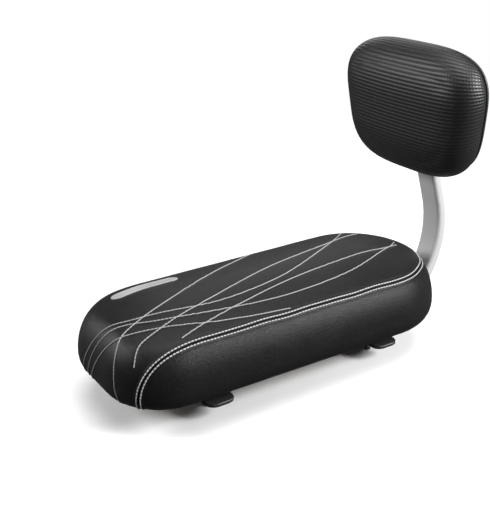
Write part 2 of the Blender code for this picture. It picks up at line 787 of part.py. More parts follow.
def tee_nut_mesh(barrel_depth):
    """A tee nut: the flange's underside at Z = 0 and the barrel below it."""
    profile = [
        (TEE_FLANGE_RADIUS, TEE_FLANGE_THICKNESS),
        (TEE_FLANGE_RADIUS, 0.0),
        (TEE_BARREL_RADIUS, 0.0),
        (TEE_BARREL_RADIUS, -barrel_depth),
        (HOLE_RADIUS, -barrel_depth),
        (HOLE_RADIUS, TEE_FLANGE_THICKNESS),
    ]
    return final_mesh(turned("tee_nut_blank", profile, ROUND_STEPS, closed=True))


def place(name, mesh, location, parent=None, flip=False):
    """A copy of a fastener in zinc, upright or turned over."""
    made = add_object(name, mesh.copy())
    made.location = location
    if flip:
        made.rotation_euler = (math.pi, 0.0, 0.0)
    made.parent = parent
    return finish(made, "zinc_" + name, (0.62, 0.63, 0.64), 0.35, 1.0)


def make_rack_clamps():
    """Two slotted clamp plates, each drawn up under the rack's rails by two carriage bolts."""
    bolt, washer, spring, nut = (
        carriage_bolt_mesh(),
        washer_mesh(),
        spring_washer_mesh(),
        nut_mesh(),
    )
    for name, middle in (("front_clamp_plate", FRONT_BOLT_Y), ("rear_clamp_plate", REAR_BOLT_Y)):
        outline = rectangle(CLAMP_PLATE_LENGTH, CLAMP_PLATE_WIDTH, CLAMP_PLATE_CORNER, (0.0, middle))
        slots = []
        for side in (-1, 1):
            centre = (side * BOLT_SPACING / 2, middle)
            end = HOLE_RADIUS * SLOT_END_SHARE
            slots.append(rectangle(CLAMP_SLOT_LENGTH, 2 * HOLE_RADIUS, end, centre, ARC_STEPS + 1))
        made = plate(name, [outline, *slots], CLAMP_UNDERSIDE, CLAMP_TOP, PLATE_EDGE)
        finish(made, "black_" + name, (0.025, 0.025, 0.027), 0.45)
    washer_low = CLAMP_UNDERSIDE - FIT_GAP - WASHER_THICKNESS
    spring_low = washer_low - FIT_GAP - SPRING_WASHER_THICKNESS
    nut_low = spring_low - FIT_GAP - NUT_HEIGHT
    for corner, (x, y) in stud_centres().items():
        place(corner + "_carriage_bolt", bolt, (x, y, SEAT_BOARD_THICKNESS + FIT_GAP))
        place(corner + "_washer", washer, (x, y, washer_low))
        place(corner + "_spring_washer", spring, (x, y, spring_low))
        place(corner + "_nut", nut, (x, y, nut_low))


def make_foot_plate():
    """The tapered plate that carries the post, bolted up into tee nuts in the board."""
    front_half = FOOT_PLATE_FRONT_WIDTH / 2
    rear_half = FOOT_PLATE_REAR_WIDTH / 2
    outline = rounded_loop(
        [
            (-front_half, FOOT_PLATE_FRONT),
            (front_half, FOOT_PLATE_FRONT),
            (rear_half, FOOT_PLATE_REAR),
            (-rear_half, FOOT_PLATE_REAR),
        ],
        FOOT_PLATE_CORNER,
    )
    half = BOLT_SPACING / 2
    holes = [circle(HOLE_RADIUS, (side * half, REAR_BOLT_Y)) for side in (-1, 1)]
    holes += [circle(HOLE_RADIUS, centre) for centre in foot_bolt_centres().values()]
    made = plate("foot_plate", [outline, *holes], FOOT_PLATE_UNDERSIDE, FOOT_PLATE_TOP, PLATE_EDGE)
    finish(made, "silver_foot_plate", (0.42, 0.42, 0.43), 0.4, 0.6)

    bolt, washer, spring, tee = (
        hex_bolt_mesh(FOOT_BOLT_LENGTH),
        washer_mesh(),
        spring_washer_mesh(),
        tee_nut_mesh(TEE_BARREL_DEPTH),
    )
    washer_low = FOOT_PLATE_UNDERSIDE - FIT_GAP - WASHER_THICKNESS
    spring_low = washer_low - FIT_GAP - SPRING_WASHER_THICKNESS
    for side, (x, y) in foot_bolt_centres().items():
        place("foot_bolt_" + side, bolt, (x, y, spring_low - FIT_GAP), flip=True)
        place("foot_washer_" + side, washer, (x, y, washer_low))
        place("foot_spring_washer_" + side, spring, (x, y, spring_low))
        place("foot_tee_nut_" + side, tee, (x, y, SEAT_BOARD_THICKNESS + FIT_GAP))


def pad_axes():
    """The pad's frame in the YZ plane: its rear face's middle, its up direction and its rear direction."""
    lean = math.radians(PAD_LEAN_DEG)
    up = Vector((-math.sin(lean), math.cos(lean)))
    rear = Vector((math.cos(lean), math.sin(lean)))
    centre = Vector((SEAT_REAR - PAD_SETBACK, PAD_HEIGHT_ABOVE_RACK))
    return centre + rear * (PAD_DEPTH / 2), up, rear


def post_centre_line():
    """The post's route in the YZ plane: under the board, up behind the tail, and up the pad's back."""
    back, up, rear = pad_axes()
    on_pad = back + rear * (FIT_GAP + POST_DEPTH / 2)
    rise = math.radians(POST_RISE_DEG)
    bend = Vector((SEAT_REAR - POST_BEND_INSET + POST_FOOT_RADIUS * math.tan(rise / 2), POST_RUN_Z))
    knee_y = bend.x + (POST_KNEE_HEIGHT - POST_RUN_Z) / math.tan(rise)
    corners = [
        Vector((POST_START_Y, POST_RUN_Z)),
        bend,
        Vector((knee_y, POST_KNEE_HEIGHT)),
        on_pad - up * (PAD_HEIGHT / 2 + POST_NECK_DROP),
        on_pad + up * POST_TOP_REACH,
    ]
    return rounded_path(corners, (POST_FOOT_RADIUS, POST_KNEE_RADIUS, POST_NECK_RADIUS))


def make_post(backrest):
    """The bent flat tube with its two end plugs."""
    line = post_centre_line()
    section = bpy.data.curves.new("post_section", "CURVE")
    section.dimensions = "2D"
    section.fill_mode = "NONE"
    clockwise = rectangle(POST_WIDTH, POST_DEPTH, POST_CORNER, steps=POST_CORNER_STEPS)[::-1]
    add_spline(section, clockwise, True)
    guide = as_cutter(add_object("post_section", section, CUTTERS))
    route = bpy.data.curves.new("post_route", "CURVE")
    route.dimensions = "3D"
    route.twist_mode = "MINIMUM"
    route.bevel_mode = "OBJECT"
    route.bevel_object = guide
    route.use_fill_caps = False
    add_spline(route, [(0.0, p.x, p.y) for p in line], False)
    post = add_object("backrest_post", final_mesh(add_object("post_blank", route)))
    wall = post.modifiers.new("wall", "SOLIDIFY")
    wall.thickness = POST_WALL
    wall.offset = -1.0
    reach = POST_DEPTH * 2
    for name, height in pad_bolt_heights().items():
        cutter = cylinder_cutter("post_hole_" + name, HOLE_RADIUS, -reach, reach / 2, (0.0, height))
        cutter.parent = backrest
        boolean(post, cutter, "DIFFERENCE")
    finish(post, "silver_post", (0.55, 0.55, 0.56), 0.35, 0.5)

    plug = end_plug_mesh()
    foot = add_object("post_foot_plug", plug)
    foot.location = (0.0, POST_START_Y - FIT_GAP, POST_RUN_Z)
    foot.rotation_euler = (math.radians(90.0), 0.0, 0.0)
    finish(foot, "black_foot_plug", (0.02, 0.02, 0.02), 0.5)
    top = add_object("post_top_plug", plug.copy())
    top.location = (0.0, POST_TOP_REACH + FIT_GAP, -FIT_GAP - POST_DEPTH / 2)
    top.rotation_euler = (math.radians(-90.0), 0.0, 0.0)
    top.parent = backrest
    finish(top, "black_top_plug", (0.02, 0.02, 0.02), 0.5)


def end_plug_mesh():
    """A push-in plug: the flange stands on Z = 0 and the stem goes down into the tube."""
    flange = plate(
        "plug_flange", [rectangle(POST_WIDTH, POST_DEPTH, POST_CORNER)], 0.0, PLUG_FLANGE, PLUG_EDGE
    )
    inset = POST_WALL + FIT_GAP
    outline = rectangle(POST_WIDTH - 2 * inset, POST_DEPTH - 2 * inset, POST_CORNER - inset)
    stem = plate("plug_stem", [outline], -PLUG_DEPTH, PLUG_FLANGE / 2, PLATE_EDGE, CUTTERS)
    return final_mesh(boolean(flange, stem, "UNION"))


def pad_bolt_heights():
    """Where the two pad bolts lie, up and down from the pad's middle."""
    return {"upper": PAD_BOLT_SPACING / 2, "lower": -PAD_BOLT_SPACING / 2}


def make_backrest():
    """The backrest: panel, board, foam and cover, with its bolts, all in the pad's own leaning frame."""
    back = pad_axes()[0]
    backrest = add_object("backrest_frame", None)
    backrest.location = (0.0, back.x, back.y)
    backrest.rotation_euler = (math.radians(90.0 + PAD_LEAN_DEG), 0.0, 0.0)

    outline = bowed_half_outline(
        PAD_WIDTH, PAD_HEIGHT, PAD_TAPER, PAD_TOP_POWER, PAD_BOTTOM_POWER, PAD_OUTLINE_STEPS
    )
    hem_face = BACK_PANEL_THICKNESS + FIT_GAP
    board_low = hem_face + COVER_THICKNESS + FIT_GAP
    board_high = board_low + PAD_BOARD_THICKNESS
    cushion = Cushion(
        outline,
        (-PAD_SPINE_LENGTH / 2, PAD_SPINE_LENGTH / 2),
        PAD_DEPTH - PAD_CROWN_RISE,
        hem_face + PAD_REAR_DEPTH,
        PAD_FRONT_RUN,
        PAD_CROWN_RISE,
        PAD_REAR_RUN,
        hem_face,
    )
    cover = cover_shell("backrest_cover", cushion, PAD_REAR_RUN + PAD_HEM_WIDTH)
    cover.parent = backrest
    finish(cover, "black_woven_vinyl", (0.020, 0.020, 0.022), 0.5)

    panel_outline = mirrored(cushion.points - cushion.normals * BACK_PANEL_INSET)
    bolt_places = [(0.0, height) for height in pad_bolt_heights().values()]
    holes = [circle(HOLE_RADIUS, centre) for centre in bolt_places]
    panel = plate(
        "backrest_back_panel", [panel_outline, *holes], 0.0, BACK_PANEL_THICKNESS, BACK_PANEL_EDGE
    )
    panel.parent = backrest
    finish(panel, "back_panel_plastic", (0.05, 0.05, 0.052), 0.5)

    board_inset = cushion.tuck_inset(board_low) + COVER_THICKNESS + BOARD_GAP
    board_outline = mirrored(cushion.points - cushion.normals * board_inset)
    board_holes = [circle(TEE_BARREL_RADIUS + HOLE_CLEARANCE, centre) for centre in bolt_places]
    board = plate("backrest_board", [board_outline, *board_holes], board_low, board_high, PAD_BOARD_EDGE)
    board.parent = backrest
    finish(board, "pad_plywood", (0.52, 0.36, 0.20), 0.75)

    foam_low = board_high + FIT_GAP
    lip = board_low + PAD_BOARD_THICKNESS / 2
    foam = foam_block("backrest_foam", cushion, board_inset, foam_low, lip)
    foam.parent = backrest
    pockets = []
    for name, height in pad_bolt_heights().items():
        radius = TEE_FLANGE_RADIUS + POCKET_GAP
        deep = foam_low + TEE_FLANGE_THICKNESS + POCKET_GAP
        low = foam_low - CUT_OVERRUN
        pockets.append(cylinder_cutter("pad_pocket_" + name, radius, low, deep, (0.0, height)))
    bpy.context.view_layer.update()
    cutter = joined_cutters("backrest_foam_pockets", pockets)
    cutter.parent = backrest
    boolean(foam, cutter, "DIFFERENCE")
    finish(foam, "pad_foam", (0.72, 0.68, 0.50), 0.95)

    bolt, washer, spring, tee = (
        hex_bolt_mesh(PAD_BOLT_LENGTH),
        washer_mesh(),
        spring_washer_mesh(),
        tee_nut_mesh(PAD_TEE_BARREL_DEPTH),
    )
    tube_back = -FIT_GAP - POST_DEPTH
    washer_low = tube_back - FIT_GAP - WASHER_THICKNESS
    spring_low = washer_low - FIT_GAP - SPRING_WASHER_THICKNESS
    for name, height in pad_bolt_heights().items():
        place("backrest_bolt_" + name, bolt, (0.0, height, spring_low - FIT_GAP), backrest, flip=True)
        place("backrest_washer_" + name, washer, (0.0, height, washer_low), backrest)
        place("backrest_spring_washer_" + name, spring, (0.0, height, spring_low), backrest)
        place("backrest_tee_nut_" + name, tee, (0.0, height, foam_low), backrest)
    return backrest


def main():
    """Builds the whole seat."""
    clear_scene()
    make_seat()
    make_rack_clamps()
    make_foot_plate()
    make_post(make_backrest())


main()
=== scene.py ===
"""Child bike seat: covers, sewing, fittings and studio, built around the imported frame.

Metres, +Z up. +Y runs to the rear and +X to the seat's left.
Each new piece is a surface worked out as whole numpy arrays, in place of the plain solid it stands for.
"""

import math

import bpy
import numpy as np
from bpy.props import FloatProperty, FloatVectorProperty, PointerProperty
from mathutils import Matrix, Vector


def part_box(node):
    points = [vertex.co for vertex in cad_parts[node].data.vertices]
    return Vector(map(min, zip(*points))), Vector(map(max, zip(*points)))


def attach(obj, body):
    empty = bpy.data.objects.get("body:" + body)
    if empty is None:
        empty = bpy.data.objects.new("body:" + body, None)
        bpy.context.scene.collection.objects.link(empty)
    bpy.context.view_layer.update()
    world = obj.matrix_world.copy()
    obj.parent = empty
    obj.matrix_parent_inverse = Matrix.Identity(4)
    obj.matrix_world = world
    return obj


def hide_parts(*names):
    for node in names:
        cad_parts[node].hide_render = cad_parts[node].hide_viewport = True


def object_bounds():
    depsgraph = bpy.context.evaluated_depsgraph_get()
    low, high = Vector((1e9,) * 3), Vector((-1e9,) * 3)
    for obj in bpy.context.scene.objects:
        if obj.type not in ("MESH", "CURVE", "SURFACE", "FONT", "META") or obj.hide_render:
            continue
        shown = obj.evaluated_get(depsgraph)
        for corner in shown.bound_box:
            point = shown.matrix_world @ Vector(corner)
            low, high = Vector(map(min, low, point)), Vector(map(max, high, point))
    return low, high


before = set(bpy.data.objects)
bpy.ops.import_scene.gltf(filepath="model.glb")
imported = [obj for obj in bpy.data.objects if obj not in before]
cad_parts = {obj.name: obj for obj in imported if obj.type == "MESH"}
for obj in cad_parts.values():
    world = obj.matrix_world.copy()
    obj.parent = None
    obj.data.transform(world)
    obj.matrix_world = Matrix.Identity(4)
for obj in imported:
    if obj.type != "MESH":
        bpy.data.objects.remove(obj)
CAD_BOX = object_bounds()

bl_info = {
    "name": "Child bike seat",
    "version": (1, 0, 0),
    "blender": (4, 5, 0),
    "location": "3D View > Sidebar > Bike Seat",
    "description": "Covers, sewing, fittings and a studio for a child bike seat",
    "category": "Add Mesh",
}

BODY = "root"

# Seat, as the solids have it
SEAT_FRONT_WIDTH = 0.142
SEAT_REAR_WIDTH = 0.148
SEAT_FRONT_RADIUS = 0.052
SEAT_REAR_RADIUS = 0.073
SEAT_CROWN = 0.0080
SEAT_WIDEST = 0.0125
SEAT_SHOULDER_RUN = 0.0256
SEAT_UNDERCUT = 0.0092
SEAT_HEM = 0.0150
SEAT_EDGE_RISE = 0.0009
SEAT_OUTLINE_SOFTNESS = 0.004
SEAT_BOARD_THICKNESS = 0.009
COVER_THICKNESS = 0.0013

# Backrest pad, as the solids have it
PAD_LEAN_DEG = 6.0
PAD_WIDTH = 0.157
PAD_TAPER = 0.11
PAD_HEIGHT = 0.118
PAD_TOP_POWER = 3.1
PAD_BOTTOM_POWER = 3.6
PAD_DEPTH = 0.037
PAD_CROWN = 0.0035
PAD_HEM_FACE = 0.0027
PAD_WIDEST = 0.0117
PAD_FRONT_RUN = 0.020
PAD_UNDERCUT = 0.0060
PAD_HEM = 0.0120
PAD_SPINE_LENGTH = 0.029
PAD_OUTLINE_SOFTNESS = 0.003
PAD_BOARD_THICKNESS = 0.006
PANEL_THICKNESS = 0.0024
PANEL_INSET = 0.0030
PANEL_EDGE = 0.0009

# Post of flat tube, as the solid has it
POST_WIDTH = 0.024
POST_DEPTH = 0.011
POST_CORNER = 0.004
POST_WALL = 0.0015
POST_BEND_INSET = 0.0162
POST_RISE_DEG = 62.0
POST_KNEE_HEIGHT = 0.0524
POST_NECK_DROP = 0.0052
POST_TOP_REACH = 0.034
POST_RADII = (0.028, 0.093, 0.060)
FIT_GAP = 0.0003

# How fine the surfaces are: points round an outline, rows over a crown, and the step down a side
SEAT_COLUMNS = 560
SEAT_CROWN_ROWS = 34
SEAT_ROW_STEP = 0.0015
PAD_COLUMNS = 420
PAD_CROWN_ROWS = 24
PAD_ROW_STEP = 0.0016
POST_STEP = 0.0025
CORE_CROWN_ROWS = 14
CORE_SIDE_ROWS = 16
FORM_CROWN_ROWS = 16
FORM_SIDE_ROWS = 30
ARC_POINTS = 60
FILLET_POINTS = 80
PILL_END_POINTS = 24
PILL_SIDE_POINTS = 40
OUTLINE_POINTS = 4000
CURVE_STEPS = 40
PROFILE_STATIONS = 601

# Side seam: a steady depth below the crown's edge, falling in a rounded turn to the hem beside the nose
SEAM_DEPTH = 0.0085
SEAM_LOW = 0.066
SEAM_TURN_START = 0.110
SEAM_TURN_END = 0.056
SEAM_ROUNDNESS = 2.7
SEAM_STEP = 0.0006
SEAM_DIP_DEPTH = 0.0014
SEAM_DIP_WIDTH = 0.0024

# How the seam strays: its size, the lengths of its two waves, the share of the short one, and the length
# over which it fades in
SEAM_WAVE = 0.00028
SEAM_SHORT_SHARE = 0.5
SEAM_LONG_WAVE = 0.061
SEAM_SHORT_WAVE = 0.037
SEAM_WAVE_FADE = 0.030

# Seam allowance in section, in millimetres: distance from the seam, and height above the cover there
ALLOWANCE_REACH = (0.0, 0.18, 0.36, 0.65, 1.0, 1.6, 2.3, 2.9, 3.5, 4.0, 4.4, 5.0)
ALLOWANCE_RISE = (-1.05, -0.85, -0.35, 0.05, 0.25, 0.34, 0.18, 0.20, 0.16, 0.04, -0.25, -0.75)

# Lines of ornamental stitching in the flat cut, in millimetres: X to the seat's left, Y to the rear
STITCH_LINES = (
    ((-24, -208), (-17, -194), (0, -160), (14, -132), (24, -91), (25, -50), (14, 11), (-17, 79), (-45, 117)),
    ((-14, -208), (-8, -195), (11, -150), (27, -120), (36, -73), (41, -8), (34, 67), (15, 122), (1, 144)),
    ((-7, -208), (0, -195), (24, -150), (42, -103), (51, -60), (56, -16)),
    ((51, -208), (44, -195), (29, -167), (20, -149), (8, -109), (-8, -73), (-29, -32), (-53, 14)),
    ((51, -162), (40, -147), (34, -124), (21, -76), (-1, -4), (-11, 39), (-19, 77), (-34, 127)),
    ((52, -117), (43, -84), (33, -41), (23, 14), (16, 82), (15, 116), (9, 139)),
)
LINE_STEP = 0.0010
LINE_GROOVE_DEPTH = 0.00040
LINE_GROOVE_WIDTH = 0.0012

# Stitches: the share of the pitch that shows as thread, and how far its middle stands above the cover
SEAM_STITCH_SHARE = 0.86
SEAM_STITCH_LIFT = 0.0004
LINE_STITCH_SHARE = 1.06
LINE_STITCH_LIFT = 0.0

# Badge: its two ends in the flat cut, its width, and its section from the middle line round to the back,
# as the share of the way to the edge and the height above the cover in millimetres
BADGE_ENDS = ((-0.036, -0.1275), (-0.035, -0.0795))
BADGE_WIDTH = 0.0135
BADGE_SHARES = (0.0, 0.35, 0.70, 0.76, 0.80, 0.85, 0.92, 0.97, 1.0, 1.0, 0.9, 0.0)
BADGE_RISES = (0.45, 0.45, 0.45, 0.47, 0.62, 0.72, 0.72, 0.62, 0.40, -0.2, -0.4, -0.4)

# Hem pleats, gathered round the tight corners under the edge: pitch and height, how far up the tucked side
# they begin, and by how much and over how many columns their pitch strays
PLEAT_PITCH = 0.0085
PLEAT_HEIGHT = 0.0005
PLEAT_START = 0.004
PLEAT_STRAY = 1.3
PLEAT_STRAY_COLUMNS = 7.0

# Filling: how far the form starts inside the cover, how far air may push it, how wide the seam holds it,
# how the cloth behaves, and where the foam's surface lies under the cover's
FILL_SLACK = 0.0008
SEAT_SWELL_CAP = 0.0026
PAD_SWELL_CAP = 0.0022
SEAM_HOLD = 0.004
CLOTH_MASS = 0.05
CLOTH_PRESSURE = 200.0
CLOTH_QUALITY = 6
CLOTH_FRAMES = 20
CLOTH_VOXEL = 0.005
SWELL_STATIONS = 81
FOAM_LIFT = -0.0019

# Where the outline counts as straight: its normal points at least this much sideways
STRAIGHT_SIDE = 0.995

# Colours
LEATHER_TOP_COLOUR = (0.012, 0.012, 0.0124)
# The side band's leatherette is the top's at half strength: painted shade on the side band
LEATHER_SIDE_SHADED_COLOUR = (0.006, 0.006, 0.0062)
VINYL_COLOUR = (0.013, 0.013, 0.0135)
SILVER_COLOUR = (0.60, 0.60, 0.61)
BLACK_STEEL_COLOUR = (0.028, 0.028, 0.030)
PLUG_COLOUR = (0.022, 0.022, 0.022)
PANEL_COLOUR = (0.032, 0.032, 0.034)
BADGE_COLOUR = (0.36, 0.36, 0.36)
ZINC_COLOURS = ((0.60, 0.61, 0.62), (0.74, 0.75, 0.77))
WOOD_COLOURS = ((0.46, 0.30, 0.16), (0.62, 0.45, 0.27))
GLUE_COLOUR = (0.22, 0.13, 0.07)
# Foam: the darker first colour is painted shade in the cell hollows, the second the cell walls
FOAM_COLOURS = ((0.52, 0.46, 0.28), (0.78, 0.72, 0.52))

# Woven vinyl: the height of a rib, the length of a float and its shift from rib to rib
RIB_PITCH = 0.0032
FLOAT_LENGTH = 0.0026
FLOAT_SHIFT = 0.37

# Plywood: lines of glue through its thickness
PLYWOOD_LAYERS = 5

# Floor: radii of its rings, the reach over which it gives way to white, and the colours that the camera
# and the object see
FLOOR_RINGS = (0.001, 1.0, 2.6)
FLOOR_POINTS = 96
FLOOR_FADE = (0.45, 0.95)
FLOOR_COLOURS = ((0.93, 0.93, 0.93), (0.96, 0.96, 0.96))
FLOOR_BOUNCE_COLOUR = (0.08, 0.08, 0.08)

# Lamps: name, place, and width and height. Their powers are the panel's values of the same names
LAMPS = (
    ("overhead", (0.10, 0.10, 2.40), (2.0, 2.0)),
    ("side", (0.92, 0.68, 0.70), (0.40, 0.40)),
    ("pad_side", (0.46, 0.42, 0.40), (0.20, 0.20)),
    ("nose", (-0.95, -0.80, 0.36), (0.30, 0.25)),
    ("front", (-0.65, -1.10, 0.80), (0.50, 0.40)),
    ("back", (-1.00, 0.70, 0.65), (0.90, 0.50)),
)
LAMP_AIM = (0.0, 0.0, 0.05)

# Camera, from the photograph's own perspective
CAMERA_PLACE = (0.5724, -0.4003, 0.3725)
CAMERA_AZIMUTH_DEG = 56.79
CAMERA_PITCH_DEG = 23.62
CAMERA_LENS = 60.26
SENSOR_WIDTH = 36.0


def unit(vectors):
    """Each vector divided by its own length."""
    return vectors / np.linalg.norm(vectors, axis=-1, keepdims=True)


def rounded_loop(corners, radii, count, soften):
    """A closed outline: each corner is an arc of its radius, tangent to both sides.

    The arcs are joined, starting at the middle of the side before the first corner, and softened along
    their length by a Gaussian of the given width, so the curvature changes gently.
    """
    corners = np.array(corners, float)
    pieces = [(corners[0] + corners[-1])[None] / 2]
    turns = np.linspace(0.0, 1.0, ARC_POINTS)[:, None]
    for i, radius in enumerate(radii):
        back = unit(corners[i - 1] - corners[i])
        ahead = unit(corners[(i + 1) % len(corners)] - corners[i])
        half = math.acos(float(back @ ahead)) / 2
        centre = corners[i] + unit(back + ahead) * radius / math.sin(half)
        start = corners[i] + back * radius / math.tan(half) - centre
        sweep = (math.pi - 2 * half) * turns
        side = np.array([-start[1], start[0]])
        pieces.append(centre + start * np.cos(sweep) + side * np.sin(sweep))
    return softened(np.concatenate(pieces), count, soften)


def bowed_loop():
    """The pad's outline: a superellipse, |x / a|^n + |y / b|^n = 1, whose half width a grows with y."""
    turns = np.linspace(-math.pi / 2, 1.5 * math.pi, OUTLINE_POINTS + 1)[:-1]
    cosine, sine = np.cos(turns), np.sin(turns)
    power = 2 / np.where(sine > 0, PAD_TOP_POWER, PAD_BOTTOM_POWER)
    rise = np.sign(sine) * np.abs(sine) ** power
    reach = PAD_WIDTH / 2 * (1 + PAD_TAPER * rise) * np.sign(cosine) * np.abs(cosine) ** power
    return softened(np.column_stack([reach, PAD_HEIGHT / 2 * rise]), PAD_COLUMNS, PAD_OUTLINE_SOFTNESS)


def softened(loop, count, soften):
    """A closed outline at equal steps, smoothed by a Gaussian: points, outward normals and the step."""
    loop = np.concatenate([loop, loop[:1]])
    reach = distances(loop)
    points = read_along(loop, reach, np.arange(count) * reach[-1] / count)
    step = reach[-1] / count
    spread = np.exp(-2 * (math.pi * np.fft.fftfreq(count, step) * soften) ** 2)[:, None]
    points = np.fft.ifft(np.fft.fft(points, axis=0) * spread, axis=0).real
    along = unit(np.roll(points, -1, axis=0) - np.roll(points, 1, axis=0))
    return points, np.column_stack([along[:, 1], -along[:, 0]]), step


def grid_faces(rows, columns, close_rows=False, close_columns=True):
    """The four-sided faces of a grid of points whose columns, and maybe rows, join up with the first."""
    row = np.arange(rows if close_rows else rows - 1)[:, None]
    column = np.arange(columns if close_columns else columns - 1)[None]
    next_row, next_column = (row + 1) % rows, (column + 1) % columns
    corners = (
        row * columns + column,
        next_row * columns + column,
        next_row * columns + next_column,
        row * columns + next_column,
    )
    return np.stack([c.ravel() for c in np.broadcast_arrays(*corners)], axis=1)


def add_mesh(name, points, faces, spread=None, marks=None):
    """A new smooth mesh object from points and face arrays.

    Spread gives each point's place in the flat cut, and marks each face's place in the list of materials.
    Points that no face uses are left out.
    """
    points = np.asarray(points, float).reshape(-1, 3)
    used = np.unique(np.concatenate([np.ravel(block) for block in faces]))
    place = np.zeros(len(points), np.int64)
    place[used] = np.arange(len(used))
    mesh = bpy.data.meshes.new(name)
    rows = [face for block in faces for face in place[np.asarray(block)].tolist()]
    mesh.from_pydata(points[used].tolist(), [], rows)
    if spread is not None:
        layer = mesh.uv_layers.new(name="cut")
        corner_points = np.zeros(len(mesh.loops), np.int32)
        mesh.loops.foreach_get("vertex_index", corner_points)
        flat = np.asarray(spread, np.float32).reshape(-1, 2)[used]
        layer.data.foreach_set("uv", flat[corner_points].ravel())
    if marks is not None:
        mesh.polygons.foreach_set("material_index", np.asarray(marks, np.int32))
    made = bpy.data.objects.new(name, mesh)
    bpy.context.scene.collection.objects.link(made)
    mesh.shade_smooth()
    return made


def dress(made, material, replaced=()):
    """Gives a new piece its material, its body and the solids it stands for."""
    materials = material if isinstance(material, (list, tuple)) else [material]
    made.data.materials.clear()
    for one in materials:
        made.data.materials.append(one)
    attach(made, BODY)
    if replaced:
        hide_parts(*replaced)
    return made


